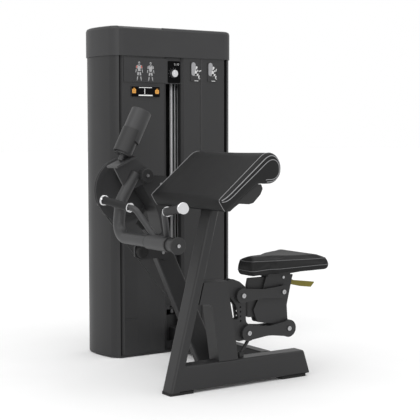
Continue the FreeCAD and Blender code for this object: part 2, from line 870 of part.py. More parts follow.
cable_dx, cable_dz, cable_run = tangent_line()
cable_dir = point(cable_dx, 0, cable_dz)
corner = point(turn_point[0], cable_line, turn_point[1])
cam_touch = corner - cable_dir * cable_run
turn_start = corner - cable_dir * turn_radius
turn_centre = turn_start + point(0, turn_radius, 0)
turn_axis = cable_dir.cross(point(0, 1, 0)).normalize()
pocket = rod(turn_centre - turn_axis * pocket_half_width, turn_centre + turn_axis * pocket_half_width,
             turn_radius + pocket_margin)
pocket = pocket.fuse(rod(turn_start - cable_dir * entry_length, corner, entry_radius))
member = member.cut(pocket)
nodes["cross_member"] = member

feet = []
foot_areas = [(x0, x1, beam_front, beam_back) for x0, x1 in rubber_feet]
foot_areas.append((member_left, member_right, member_foot_front, member_foot_back))
for x0, x1, y0, y1 in foot_areas:
    foot_corners = [(x0 + foot_inset, y0 + foot_inset), (x1 - foot_inset, y0 + foot_inset),
                    (x1 - foot_inset, y1 - foot_inset), (x0 + foot_inset, y1 - foot_inset)]
    feet.append(plate_xy(foot_corners, foot_round, 0, beam_bottom))
nodes["rubber_feet"] = Part.makeCompound(feet + tower_glides)

post = plate_xz(post_outline, 0, post_front, post_back)
lean_edges = [e for e in post.Edges if e.Length > lean_edge_length and e.BoundBox.YLength < rod_clearance]
post = post.makeFillet(post_round, lean_edges)
post = post.cut(plate_xz(post_bore_outline, 0, post_front + post_wall, post_back - post_wall))
nodes["rear_post"] = post

carrier = plate_xz(carrier_outline, carrier_radii, carrier_front, carrier_back)
carrier = carrier.fuse(plate_xz(carrier_lug, 0, post_back, carrier_back))
carrier = carrier.fuse(along_y(axle_x, axle_z, carrier_front, carrier_back, housing_radius))
carrier = carrier.cut(along_y(axle_x, axle_z, carrier_front, carrier_back, bush_radius))
carrier = carrier.removeSplitter()
nodes["axle_carrier"] = carrier
bush_length = (carrier_back - carrier_front) * bush_share
nodes["axle_bushes"] = Part.makeCompound([
    ring_y(axle_x, axle_z, carrier_front, carrier_front + bush_length, bush_radius,
           axle_radius + rod_clearance),
    ring_y(axle_x, axle_z, carrier_back - bush_length, carrier_back, bush_radius,
           axle_radius + rod_clearance)])

# Arm
nodes["arm_axle"] = along_y(axle_x, axle_z, axle_front, axle_back, axle_radius)
hub = along_y(axle_x, axle_z, hub_front, hub_back, hub_radius)
arm_path = [point(arm_start[0], arm_line, arm_start[1]), point(arm_knee[0], arm_line, arm_knee[1]),
            point(cross_x, arm_line, cross_z), point(cross_x, cross_end, cross_z)]
tube = bent_bar(arm_path, [arm_knee_bend, arm_side_bend], arm_tube_radius)
bore_start = arm_path[0] + (arm_path[1] - arm_path[0]).normalize() * arm_plug_length
tube_bore = bent_bar([bore_start] + arm_path[1:], [arm_knee_bend, arm_side_bend], arm_bore)
web = plate_xz(web_outline, web_round, arm_line - web_half_thick, arm_line + web_half_thick)
flange = plate_xz(flange_points, 0, flange_front, flange_back)
weight_axis = point(math.sin(math.radians(weight_lean_degrees)), 0,
                    math.cos(math.radians(weight_lean_degrees)))
weight_foot = point(weight_base[0], arm_line, weight_base[1])
neck = rod(weight_foot - weight_axis * neck_length, weight_foot, neck_radius)
arm = tube.fuse([hub, web, flange, neck]).cut(tube_bore)
arm = arm.cut(along_y(axle_x, axle_z, hub_front, hub_back, axle_radius))
arm = arm.removeSplitter()
nodes["movement_arm"] = arm

low_part = rod(weight_foot, weight_foot + weight_axis * weight_low_length, weight_low_radius)
high_start = weight_foot + weight_axis * weight_low_length
weight_end = weight_foot + weight_axis * weight_length
high_part = rod(high_start, weight_end, weight_high_radius)
high_part = high_part.makeFillet(weight_edge, [e for e in high_part.Edges if len(e.Vertexes) == 1])
weight = low_part.fuse(high_part).cut(arm)
nodes["counterweight"] = weight.removeSplitter()
skirt = ring(weight_foot + weight_axis * skirt_start, weight_foot + weight_axis * skirt_length,
             weight_high_radius + skirt_wall, weight_high_radius)
half = Part.makeBox(weight_length, weight_length, weight_length,
                    point(-weight_length, -weight_length * half_share, 0))
half.Placement = FreeCAD.Placement(weight_foot, FreeCAD.Rotation(point(0, 0, 1), weight_axis))
nodes["weight_skirt"] = skirt.common(half).cut(arm)

end_cap = along_y(cross_x, cross_z, cross_end - end_cap_length, cross_end, end_cap_radius)
front_edges = [e for e in end_cap.Edges
               if abs(e.BoundBox.YMax - (cross_end - end_cap_length)) < rod_clearance]
end_cap = end_cap.makeFillet(cap_round, front_edges)
hub_cap_front = hub_front - hub_cap_length
hub_cap = along_y(axle_x, axle_z, hub_cap_front, hub_front, hub_radius)
hub_edges = [e for e in hub_cap.Edges if abs(e.BoundBox.YMax - hub_cap_front) < rod_clearance]
hub_cap = hub_cap.makeFillet(cap_round, hub_edges)
arm_caps = [end_cap, hub_cap]
nodes["arm_bolts"] = Part.makeCompound([
    bolt_y(cross_x, cross_z, cross_end - end_cap_length, bolt_radius, bolt_height),
    bolt_y(axle_x, axle_z, hub_cap_front, bolt_radius, bolt_height)])

# Cam
groove_bottom = cam_radius - cable_radius - cable_gap
half_width = (cam_back - cam_front) * half_share
cam_rim_radius = cam_radius + cam_lip
cam_profile = [(0, -half_width + cam_face_recess), (cam_radius - cam_rim, -half_width + cam_face_recess),
               (cam_radius - cam_rim, -half_width), (cam_rim_radius, -half_width),
               (cam_rim_radius, -cable_radius - groove_flare), (groove_bottom, -cable_radius - cable_gap),
               (groove_bottom, cable_radius + cable_gap), (cam_rim_radius, cable_radius + groove_flare),
               (cam_rim_radius, half_width), (cam_radius - cam_rim, half_width),
               (cam_radius - cam_rim, half_width - cam_face_recess), (0, half_width - cam_face_recess)]
cam = turned(cam_profile, point(cam_x, cable_line, cam_z), point(0, 1, 0))
cam = cam.fuse(along_y(axle_x, axle_z, cam_front - cam_hub_reach, cam_back + cam_hub_reach, cam_hub_radius))
for i in range(cam_hole_count):
    angle = math.radians(cam_hole_start_degrees + i * cam_hole_step)
    hole_x = cam_x + cam_hole_ring * math.cos(angle)
    hole_z = cam_z + cam_hole_ring * math.sin(angle)
    if math.hypot(hole_x - axle_x, hole_z - axle_z) > cam_hub_radius + cam_hole_radius + cam_hub_reach:
        cam = cam.cut(along_y(hole_x, hole_z, cam_front, cam_back, cam_hole_radius))
cam = cam.cut(along_y(axle_x, axle_z, cam_front - cam_hub_reach, cam_back + cam_hub_reach, axle_radius))
nodes["cam"] = cam.removeSplitter()

# Cable
def cable_path(edges):
    wire = Part.Wire(edges)
    start = wire.Edges[0].valueAt(wire.Edges[0].FirstParameter)
    tangent = wire.Edges[0].tangentAt(wire.Edges[0].FirstParameter)
    profile = Part.Wire(Part.makeCircle(cable_radius, start, tangent))
    return wire.makePipeShell([profile], True, True)


def quarter(centre, start, end, radius):
    middle = centre + (start + end - centre - centre).normalize() * radius
    return Part.Arc(start, middle, end).toShape()


nodes["cam_cable"] = rod(cam_touch + cable_dir * cable_gap, turn_start - cable_dir * cable_gap, cable_radius)
normal = (cam_touch - point(cam_x, cable_line, cam_z)).normalize()
wrap_turn = FreeCAD.Rotation(point(0, 1, 0), wrap_angle)
wrap_end_dir = wrap_turn.multVec(normal)
half_turn_dir = FreeCAD.Rotation(point(0, 1, 0), wrap_angle * half_share).multVec(normal)
cam_centre = point(cam_x, cable_line, cam_z)
wrap = Part.Arc(cam_touch, cam_centre + half_turn_dir * cam_radius, cam_centre + wrap_end_dir * cam_radius)
wrap_shape = cable_path([wrap.toShape()])
anchor_centre = cam_centre + wrap_end_dir * cam_radius
anchor_half = point(0, anchor_half_length, 0)
anchor = rod(anchor_centre - anchor_half, anchor_centre + anchor_half, anchor_radius)
nodes["cam_cable_anchor"] = wrap_shape.fuse(anchor).removeSplitter()
nodes["cam"] = nodes["cam"].cut(nodes["cam_cable_anchor"])

turn_end = turn_centre + cable_dir * turn_radius
low_centre = point(turn_point[0], rise_y - low_pulley_radius, turn_point[1] + low_pulley_radius)
low_start = point(turn_point[0], low_centre.y, turn_point[1])
low_end = point(turn_point[0], rise_y, low_centre.z)
high_start_point = point(turn_point[0], rise_y, top_pulley_height)
high_end_point = point(stack_x, stack_y, top_pulley_height)
top_centre = (high_start_point + high_end_point) * half_share
top_radius = (high_start_point - high_end_point).Length * half_share
top_peak = top_centre + point(0, 0, top_radius)
inner_cable = cable_path([
    quarter(turn_centre, turn_start, turn_end, turn_radius),
    Part.makeLine(turn_end, low_start),
    quarter(low_centre, low_start, low_end, low_pulley_radius),
    Part.makeLine(low_end, high_start_point),
    quarter(top_centre, high_start_point, top_peak, top_radius),
    quarter(top_centre, top_peak, high_end_point, top_radius)])
nodes["tower_cable"] = inner_cable
nodes["stack_cable"] = rod(point(stack_x, stack_y, stem_top), high_end_point, cable_radius)

groove_gap = cable_radius + cable_gap
turn_groove = turn_radius - groove_gap
low_axis = point(1, 0, 0)
top_across = (high_end_point - high_start_point).normalize()
top_axis = top_across.cross(point(0, 0, 1)).normalize()
nodes["turn_pulley"] = pulley(turn_centre, turn_axis, turn_groove)
nodes["low_pulley"] = pulley(low_centre, low_axis, low_pulley_radius - groove_gap)
nodes["top_pulley"] = pulley(top_centre, top_axis, top_radius - groove_gap)
axles = []
cheeks = []
plates, axle = axle_and_cheeks(turn_centre, turn_axis, cable_dir, turn_bracket_length)
axles.append(axle)
inside_member = box(member_left + tube_wall, member_right - tube_wall, bracket_zone_front, bracket_zone_back,
                    beam_bottom + tube_wall, beam_top - tube_wall)
left_zone = box(member_left - bracket_zone_reach, member_left + tube_wall, bracket_zone_front,
                bracket_zone_back,
                bracket_zone_bottom, beam_top + bracket_zone_reach)
for plate in plates:
    plate = plate.common(inside_member.fuse(left_zone).removeSplitter()).cut(member)
    cheeks.append(plate.Solids[0] if len(plate.Solids) == 1 else max(plate.Solids, key=lambda s: s.Volume))
plates, axle = axle_and_cheeks(low_centre, low_axis, point(0, 0, -1), low_centre.z - base_plate_top)
axles.append(axle)
for plate in plates:
    cheeks.append(plate.common(box(0, tower_width, 0, tower_depth, base_plate_top, tower_height)))
plates, axle = axle_and_cheeks(top_centre, top_axis, point(0, 0, -1), top_pulley_height - high_bar_top)
axles.append(axle)
for plate in plates:
    cheeks.append(plate)
bore_cutter = Part.makeCompound(axles)
nodes["pulley_brackets"] = Part.makeCompound([c.cut(bore_cutter) for c in cheeks] + axles)

# Handle
front_sleeve = seat_line - sleeve_half_length
back_sleeve = seat_line + sleeve_half_length
sleeve = along_y(cross_x, cross_z, front_sleeve, back_sleeve, sleeve_radius)
handle = sleeve
grips = []
rings = []
for side in (-1, 1):
    outer = point(handle_outer[0], seat_line + side * handle_outer[1], handle_outer[2])
    inner = point(handle_inner[0], seat_line + side * handle_inner[1], handle_inner[2])
    foot = point(handle_foot[0], seat_line + side * handle_foot[1], handle_foot[2])
    run = (inner - outer).normalize()
    bar_end = outer + run * disc_face
    bar = bent_bar([bar_end, inner, foot], [handle_bend], handle_bar_radius)
    handle = handle.fuse(bar)
    grip_a = outer + run * disc_length
    grip_end = outer + run * grip_reach
    grips.append(ring(grip_a, grip_end, grip_radius, handle_bar_radius))
    rings.append(ring(grip_end, grip_end + run * ring_length, ring_radius, handle_bar_radius))
    disc = rod(outer, outer + run * disc_length, disc_radius)
    disc = disc.makeChamfer(disc_chamfer, [e for e in disc.Edges if len(e.Vertexes) == 1])
    plug = rod(bar_end, outer + run * disc_length, handle_bar_radius)
    rings.append(disc.cut(plug))
handle = handle.cut(along_y(cross_x, cross_z, front_sleeve, back_sleeve, arm_tube_radius + sleeve_clearance))
nodes["handle_frame"] = handle.removeSplitter()
nodes["handle_grips"] = Part.makeCompound(grips)
nodes["handle_rings"] = Part.makeCompound(rings)
nodes["arm_end_caps"] = Part.makeCompound(arm_caps + [
    ring_y(cross_x, cross_z, front_sleeve - stop_collar_length, front_sleeve, stop_collar_radius,
           arm_tube_radius),
    ring_y(cross_x, cross_z, back_sleeve, back_sleeve + stop_collar_length, stop_collar_radius,
           arm_tube_radius)])

# Stops
stop_plate = plate_xz(stop_outline, stop_round, post_front - stop_plate_thick, post_front)
wheel_profile = [(0, 0), (stop_radius - stop_bevel, 0), (stop_radius, stop_bevel),
                 (stop_radius, stop_width - stop_bevel), (stop_radius - stop_bevel, stop_width),
                 (0, stop_width)]
wheel_front = post_front - stop_plate_thick - stop_width
round_stop = turned(wheel_profile, point(stop_centre[0], wheel_front, stop_centre[1]), point(0, 1, 0))
rib_profile = [(0, 0)]
for i in range(ribbed_count):
    rib_profile.append((ribbed_radius, i * ribbed_pitch))
    rib_profile.append((ribbed_radius, i * ribbed_pitch + ribbed_pitch - ribbed_gap))
    rib_profile.append((ribbed_radius - ribbed_groove, i * ribbed_pitch + ribbed_pitch - ribbed_gap))
    rib_profile.append((ribbed_radius - ribbed_groove, i * ribbed_pitch + ribbed_pitch))
rib_profile.append((0, ribbed_count * ribbed_pitch))
stop_arm = plate_xz(stop_arm_outline, stop_arm_round, wheel_front, post_front - stop_plate_thick)
nodes["stop_plate"] = stop_plate.fuse(stop_arm).removeSplitter()
ribbed_dir = point(-ribbed_lean_share, 0, 1).normalize()
ribbed_start = point(ribbed_foot[0], post_front - ribbed_depth, ribbed_foot[1])
ribbed_bumper = turned(rib_profile, ribbed_start, ribbed_dir)
rubbers = [round_stop.cut(nodes["stop_plate"]), ribbed_bumper.cut(nodes["stop_plate"])]
nodes["stop_rubbers"] = Part.makeCompound(rubbers)

# Pad
def pad_section(y, shrink):
    radii = [max(r - shrink, pad_least_round) for r in pad_radii]
    return rounded_path(inset(pad_points, shrink), radii, lambda v: point(v.x, y, v.y))


pad_stations = [(pad_front + step, shrink) for step, shrink in pad_end_steps]
pad_stations = pad_stations + [(pad_back - step, shrink) for step, shrink in reversed(pad_end_steps)]
pad = Part.makeLoft([pad_section(y, s) for y, s in pad_stations], True, True)
nodes["arm_pad"] = pad.cut(shell)
nodes["pad_shell"] = shell

# Seat column
lug_front = link_front + link_thick + link_gap
lug_back = lug_front + plate_thick
rear_lug_front = seat_line + (seat_line - lug_back)
rear_lug_back = seat_line + (seat_line - lug_front)
rear_link_front = rear_lug_back + link_gap
rear_link_back = rear_link_front + link_thick
column_body = plate_xz(column_outline, column_radii, beam_front + column_step, beam_back).cut(leg_outer)
nodes["seat_column"] = column_body.removeSplitter()

lug_plates = []
for plate_front in (lug_front, rear_lug_front):
    plate = plate_xz(lug_outline, lug_radii, plate_front, plate_front + plate_thick).cut(column_body)
    for spot_x, spot_z in (link_upper, link_lower):
        plate = plate.cut(along_y(spot_x, spot_z, plate_front, plate_front + plate_thick, pin_size))
    for spot_x, spot_z in ratchet_holes:
        plate = plate.cut(along_y(spot_x, spot_z, plate_front, plate_front + plate_thick,
                                  ratchet_hole_radius))
    lug_plates.append(plate)
nodes["ratchet_plate"] = Part.makeCompound(lug_plates)


def dog_bone(centre, near, far, waist, y0):
    x, z = centre
    end_x = x + link_length
    body = along_y(x, z, y0, y0 + link_thick, near).fuse(along_y(end_x, z, y0, y0 + link_thick, far))
    middle_x = x + link_length * half_share
    start = near * link_shoulder_share
    stop = far * link_shoulder_share
    corners = [(x, z - start), (middle_x, z - waist), (end_x, z - stop), (end_x, z + stop),
               (middle_x, z + waist),
               (x, z + start)]
    bar = plate_xz(corners, [0, link_bend, 0, 0, link_bend, 0], y0, y0 + link_thick)
    return body.fuse(bar).removeSplitter()


def link_pair(centre, near, far, waist, far_clearance):
    pair = []
    for y0 in (link_front, rear_link_front):
        piece = dog_bone(centre, near, far, waist, y0)
        piece = piece.cut(along_y(centre[0], centre[1], y0, y0 + link_thick, pin_size + rod_clearance))
        piece = piece.cut(along_y(centre[0] + link_length, centre[1], y0, y0 + link_thick,
                                  pin_size + far_clearance))
        pair.append(piece)
    return pair


nodes["upper_links"] = Part.makeCompound(link_pair(link_upper, upper_hub_radius, upper_end_radius,
                                                   upper_waist,
                                                   rod_clearance))
lower_pair = link_pair(link_lower, lower_hub_radius, lower_end_radius, lower_waist, open_pin_clearance)
bridge = rod(point(gas_top[0], link_front + link_thick, gas_top[1]),
             point(gas_top[0], rear_link_front, gas_top[1]),
             gas_pin_radius)
nodes["lower_links"] = Part.makeCompound(lower_pair + [bridge])


def pin_with_heads(x, z):
    """Pivot pin with a low button head outside each link."""
    front_face = link_front - link_gap
    back_face = rear_link_back + link_gap
    pin_body = along_y(x, z, front_face - pin_reach_out, back_face + pin_reach_out, pin_size)
    front_head = along_y(x, z, front_face - pin_head_height, front_face, pin_head_radius)
    back_head = along_y(x, z, back_face, back_face + pin_head_height, pin_head_radius)
    socket_end = front_face - pin_head_height * half_share
    socket = along_y(x, z, front_face - pin_head_height, socket_end, pin_socket_radius)
    return pin_body.fuse([front_head, back_head]).cut(socket).removeSplitter()


column_pins = [pin_with_heads(*link_upper), pin_with_heads(*link_lower)]
carriage_pin_spots = [(link_upper[0] + link_length, link_upper[1]),
                      (link_lower[0] + link_length, link_lower[1])]
carriage_pins = [pin_with_heads(*spot) for spot in carriage_pin_spots]

carriage = plate_xz(carriage_outline, carriage_radii, lug_front, lug_back)
carriage_rear = plate_xz(carriage_outline, carriage_radii, rear_lug_front, rear_lug_back)
carriage_list = []
for plate in (carriage, carriage_rear):
    for spot in carriage_pin_spots:
        plate = plate.cut(along_y(spot[0], spot[1], beam_front, beam_back, pin_size))
    plate = plate.cut(along_y(lever_pivot[0], lever_pivot[1], beam_front, beam_back, lever_pin_radius))
    carriage_list.append(plate)
spreader_top = carriage_outline[0][1] - carriage_radii[0]
spreader = box(spreader_left, spreader_right, lug_back, rear_lug_front,
               spreader_top - spreader_height, spreader_top)
nodes["seat_carriage"] = carriage_list[0].fuse([carriage_list[1], spreader]).removeSplitter()

lever_back = lever_front + lever_thick
lever = plate_xz(lever_outline, lever_radii, lever_front, lever_back)
lever_hole = lever_pin_radius + rod_clearance
lever = lever.cut(along_y(lever_pivot[0], lever_pivot[1], lever_front, lever_back, lever_hole))
nodes["release_lever"] = lever
lever_pin = along_y(lever_pivot[0], lever_pivot[1], lug_front, rear_lug_back, lever_pin_radius)
lever_head = along_y(lever_pivot[0], lever_pivot[1], lug_front - lever_head_height, lug_front,
                     lever_head_radius)
nodes["carriage_pins"] = Part.makeCompound(carriage_pins + [lever_pin.fuse(lever_head).removeSplitter()])

# Gas spring
gas_a = point(gas_foot[0], gas_line, gas_foot[1])
gas_b = point(gas_top[0], gas_line, gas_top[1])
gas_axis = (gas_b - gas_a).normalize()
gas_length = (gas_b - gas_a).Length
body_end = gas_a + gas_axis * (gas_length * gas_body_share)
gas_body = rod(gas_a + gas_axis * gas_body_radius, body_end, gas_body_radius)
gas_eye = along_y(gas_a.x, gas_a.z, gas_line - gas_eye_half, gas_line + gas_eye_half, gas_eye_radius)
gas_foot_bore = along_y(gas_a.x, gas_a.z, gas_line - clevis_half, gas_line + clevis_half,
                        gas_pin_radius + rod_clearance)
gas_body = gas_body.fuse(gas_eye).cut(gas_foot_bore)
gas_body = gas_body.cut(rod(gas_a + gas_axis * gas_bore_start, body_end, gas_rod_radius + rod_clearance))
nodes["gas_cylinder"] = gas_body.removeSplitter()
gas_rod = rod(gas_a + gas_axis * gas_rod_start, gas_b - gas_axis * gas_pin_radius, gas_rod_radius)
top_eye = along_y(gas_b.x, gas_b.z, gas_line - gas_eye_half, gas_line + gas_eye_half, gas_top_radius)
top_bore = along_y(gas_b.x, gas_b.z, gas_line - clevis_half, gas_line + clevis_half,
                   gas_pin_radius + gas_play)
nodes["gas_rod"] = gas_rod.fuse(top_eye).cut(top_bore).removeSplitter()
clevis_parts = [along_y(gas_a.x, gas_a.z, gas_line - clevis_half, gas_line + clevis_half, gas_pin_radius)]
for y0 in (gas_line - clevis_half, gas_line + clevis_half - clevis_thick):
    clevis_parts.append(box(gas_a.x - clevis_reach, gas_a.x + clevis_reach, y0, y0 + clevis_thick,
                            beam_top, gas_a.z + clevis_rise))
nodes["gas_clevis"] = clevis_parts[0].fuse(clevis_parts[1:]).removeSplitter()
nodes["seat_fixings"] = Part.makeCompound(column_pins)

# Seat cushion
tilt_turn = FreeCAD.Placement(point(seat_nose, seat_line, seat_base_height),
                              FreeCAD.Rotation(point(0, 1, 0), -seat_tilt_degrees))


def cushion_section(height, shrink):
    corners = inset(cushion_outline, shrink)
    radius = max(cushion_corner - shrink * half_share, cushion_least_round)

    def place(v):
        above = max(height - cushion_piping_level, 0)
        drop = above * (v.x - cushion_outline[0][0]) * cushion_taper_share
        return tilt_turn.multVec(point(v.x, v.y, height - drop))

    return rounded_path(corners, radius, place)


side_wires = [cushion_section(h, s) for h, s in cushion_levels]
crown_wires = [cushion_section(h, s) for h, s in cushion_crown]
cushion = Part.makeLoft(side_wires, True, True).fuse(Part.makeLoft(crown_wires, True, True))
nodes["seat_cushion"] = cushion.removeSplitter()
board_wire = rounded_path(board_outline, board_round,
                          lambda v: tilt_turn.multVec(point(v.x, v.y, -board_thick)))
up = tilt_turn.Rotation.multVec(point(0, 0, board_thick))
board = Part.Face(board_wire).extrude(up)
wedge_top = []
for wedge_x in (wedge_right, wedge_left):
    rise = (wedge_x - seat_nose) * math.tan(math.radians(seat_tilt_degrees))
    wedge_top.append((wedge_x, seat_base_height + rise))
wedge_bottom = carriage_outline[0][1]
wedge = plate_xz([(wedge_left, wedge_bottom), (wedge_right, wedge_bottom)] + wedge_top, 0, lug_front,
                 rear_lug_back)
wedge = wedge.cut(board).cut(nodes["seat_cushion"])
latch = plate_xz(latch_outline, latch_round, lug_back + latch_side_gap, rear_lug_front - latch_side_gap)
nodes["seat_board"] = Part.makeCompound([board.cut(nodes["seat_cushion"]), wedge, latch])

# Fasteners
bolts = []
for spot_x, spot_z in post_bolt_spots:
    bolts.append(bolt_y(spot_x, spot_z, post_front - stop_plate_thick, frame_bolt_radius, frame_bolt_height))
for spot_x, spot_z in carrier_bolt_spots:
    bolts.append(bolt_y(spot_x, spot_z, carrier_front, frame_bolt_radius, frame_bolt_height))
nodes["frame_bolts"] = Part.makeCompound(bolts)

# Shift to the middle of the footprint
total = Part.makeCompound(list(nodes.values())).BoundBox
shift = point(-(total.XMin + total.XMax) * half_share, -(total.YMin + total.YMax) * half_share, -total.ZMin)
if __name__ == "__main__":
    print("box", total.XMin, total.XMax, total.YMin, total.YMax, total.ZMin, total.ZMax)
    print("shift", shift)
    for name, shape in nodes.items():
        if not shape.isValid():
            print("NOT VALID", name)
        placed = shape.copy()
        placed.translate(shift)
        placed.exportStep("parts/" + name + ".step")
    print(len(nodes), "nodes")
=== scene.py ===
"""Looks of the biceps curl machine: finishes, upholstery, piping, signs, light and camera."""
import bpy
import bmesh
import json
import math
from mathutils import Vector, Matrix
from mathutils.bvhtree import BVHTree


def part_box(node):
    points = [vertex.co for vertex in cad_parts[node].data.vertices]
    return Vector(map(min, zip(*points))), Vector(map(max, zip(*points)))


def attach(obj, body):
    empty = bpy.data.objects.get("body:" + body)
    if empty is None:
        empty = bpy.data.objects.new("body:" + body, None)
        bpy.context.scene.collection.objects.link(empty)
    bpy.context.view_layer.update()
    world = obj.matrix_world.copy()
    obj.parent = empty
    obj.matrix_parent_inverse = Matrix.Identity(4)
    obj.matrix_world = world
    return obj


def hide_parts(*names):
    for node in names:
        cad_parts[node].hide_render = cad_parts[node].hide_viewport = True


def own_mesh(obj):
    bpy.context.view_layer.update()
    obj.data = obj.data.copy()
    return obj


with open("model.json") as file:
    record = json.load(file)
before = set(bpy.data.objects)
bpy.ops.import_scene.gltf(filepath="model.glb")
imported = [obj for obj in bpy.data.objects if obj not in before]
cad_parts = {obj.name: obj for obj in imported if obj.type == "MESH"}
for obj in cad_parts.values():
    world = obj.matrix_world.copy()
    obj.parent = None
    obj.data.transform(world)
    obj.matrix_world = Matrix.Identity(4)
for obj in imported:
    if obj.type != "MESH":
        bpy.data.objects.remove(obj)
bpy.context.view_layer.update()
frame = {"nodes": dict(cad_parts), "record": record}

nodes = frame["nodes"]
scene = bpy.context.scene

# Places are measured in metres from the tower's front left foot: to the right, back and up
tower_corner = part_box("tower_frame")[0]
HOME = Vector((tower_corner.x, tower_corner.y, 0.0))


def at(x, y, z):
    return Vector((x, y, z)) + HOME


def box_of(node):
    """A node's lowest and highest corners, measured from the tower's foot."""
    low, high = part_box(node)
    return low - HOME, high - HOME


def metres(places):
    """Pairs of millimetres as pairs of metres."""
    return [(x / 1000, z / 1000) for x, z in places]


# Shader maths
class Value:
    """A shader socket with ordinary arithmetic."""

    def __init__(self, tree, socket):
        self.tree = tree
        self.socket = socket

    def math(self, kind, other):
        node = self.tree.nodes.new("ShaderNodeMath")
        node.operation = kind
        self.tree.links.new(self.socket, node.inputs[0])
        if isinstance(other, Value):
            self.tree.links.new(other.socket, node.inputs[1])
        else:
            node.inputs[1].default_value = other
        return Value(self.tree, node.outputs[0])

    def __add__(self, other):
        return self.math("ADD", other)

    def __mul__(self, other):
        return self.math("MULTIPLY", other)

    def clamp(self):
        return self.math("MAXIMUM", 0.0).math("MINIMUM", 1.0)


class Finish:
    """One procedural material on Object coordinates."""

    def __init__(self, name):
        self.mat = bpy.data.materials.new(name)
        self.mat.use_nodes = True
        self.tree = self.mat.node_tree
        self.bsdf = self.tree.nodes["Principled BSDF"]
        self.coords = self.tree.nodes.new("ShaderNodeTexCoord").outputs["Object"]

    def stretched(self, scale):
        node = self.tree.nodes.new("ShaderNodeMapping")
        node.inputs["Scale"].default_value = scale
        self.tree.links.new(self.coords, node.inputs["Vector"])
        return node.outputs["Vector"]

    def noise(self, scale, detail=3.0, rough=0.5, where=None):
        node = self.tree.nodes.new("ShaderNodeTexNoise")
        node.inputs["Scale"].default_value = scale
        node.inputs["Detail"].default_value = detail
        node.inputs["Roughness"].default_value = rough
        self.tree.links.new(where or self.coords, node.inputs["Vector"])
        return Value(self.tree, node.outputs["Fac"])

    def cells(self, scale, feature="F1"):
        node = self.tree.nodes.new("ShaderNodeTexVoronoi")
        node.feature = feature
        node.inputs["Scale"].default_value = scale
        self.tree.links.new(self.coords, node.inputs["Vector"])
        return Value(self.tree, node.outputs["Distance"])

    def color(self, factor, dark, light):
        node = self.tree.nodes.new("ShaderNodeMix")
        node.data_type = "RGBA"
        node.inputs["A"].default_value = (*dark, 1)
        node.inputs["B"].default_value = (*light, 1)
        self.tree.links.new(factor.socket, node.inputs["Factor"])
        self.tree.links.new(node.outputs["Result"], self.bsdf.inputs["Base Color"])

    def rough(self, value):
        self.tree.links.new(value.clamp().socket, self.bsdf.inputs["Roughness"])

    def bump(self, height, strength, distance):
        node = self.tree.nodes.new("ShaderNodeBump")
        node.inputs["Strength"].default_value = strength
        node.inputs["Distance"].default_value = distance
        self.tree.links.new(height.socket, node.inputs["Height"])
        self.tree.links.new(node.outputs["Normal"], self.bsdf.inputs["Normal"])

    def fixed(self, **values):
        for key, value in values.items():
            self.bsdf.inputs[key.replace("_", " ")].default_value = value


def shade(rgb, factor):
    return tuple(min(1.0, c * factor) for c in rgb)


# Finishes: noise and cell scales are in waves or cells for each metre
def powder_coat(name, rgb, rough=0.46):
    f = Finish(name)
    large = f.noise(scale=5.0, detail=2.0)
    fine = f.noise(scale=900.0, detail=2.0, rough=0.6)
    peel = f.noise(scale=260.0, detail=2.0)
    f.color(large * 0.7 + fine * 0.3, dark=shade(rgb, 0.86), light=shade(rgb, 1.14))
    f.rough(large * 0.12 + fine * 0.08 + (rough - 0.10))
    f.bump(fine * 0.5 + peel * 0.5, strength=0.16, distance=0.0004)
    f.fixed(Specular_IOR_Level=0.32)
    return f.mat


def moulded(name, rgb, rough=0.5, grain=1400.0, strength=0.12, coat=0.0):
    f = Finish(name)
    large = f.noise(scale=9.0, detail=2.0)
    grain_cells = f.cells(scale=grain)
    f.color(large, dark=shade(rgb, 0.85), light=shade(rgb, 1.15))
    f.rough(large * 0.1 + grain_cells * 0.12 + (rough - 0.1))
    f.bump(grain_cells, strength, distance=0.0003)
    f.fixed(Coat_Weight=coat, Coat_Roughness=0.12, Specular_IOR_Level=0.34)
    return f.mat


def metal(name, rgb, rough, stretch=(1, 1, 1), streak=300.0, strength=0.05, metallic=1.0):
    f = Finish(name)
    lines = f.noise(scale=streak, detail=3.0, rough=0.6, where=f.stretched(stretch))
    smudge = f.noise(scale=30.0, detail=3.0)
    f.color(smudge * 0.5 + lines * 0.5, dark=shade(rgb, 0.9), light=shade(rgb, 1.05))
    f.rough(lines * 0.08 + smudge * 0.07 + (rough - 0.07))
    f.bump(lines, strength, distance=0.0002)
    f.fixed(Metallic=metallic)
    return f.mat


def hide(name, rgb, rough=0.52):
    """Coated upholstery: small pebbles, creases between them."""
    f = Finish(name)
    pebble = f.cells(scale=620.0, feature="SMOOTH_F1")
    crease = f.cells(scale=420.0, feature="DISTANCE_TO_EDGE")
    wide = f.noise(scale=7.0, detail=3.0)
    f.color(wide * 0.6 + pebble * 0.4, dark=shade(rgb, 0.8), light=shade(rgb, 1.2))
    f.rough(wide * 0.12 + pebble * 0.12 + (rough - 0.1))
    f.bump(pebble * 0.5 + crease.clamp() * 0.8, strength=0.25, distance=0.0005)
    f.fixed(Specular_IOR_Level=0.17)
    return f.mat


def rubber(name, rgb, rough=0.68):
    f = Finish(name)
    wide = f.noise(scale=20.0, detail=3.0)
    fine = f.noise(scale=1200.0, detail=2.0, rough=0.7)
    f.color(wide, dark=shade(rgb, 0.8), light=shade(rgb, 1.25))
    f.rough(wide * 0.15 + (rough - 0.08))
    f.bump(fine, strength=0.2, distance=0.0003)
    f.fixed(Specular_IOR_Level=0.2)
    return f.mat


def casting(name, rgb, rough=0.55):
    f = Finish(name)
    sand = f.noise(scale=420.0, detail=4.0, rough=0.7)
    wide = f.noise(scale=12.0, detail=3.0)
    f.color(wide, dark=shade(rgb, 0.82), light=shade(rgb, 1.18))
    f.rough(sand * 0.15 + wide * 0.08 + (rough - 0.1))
    f.bump(sand, strength=0.3, distance=0.0006)
    return f.mat


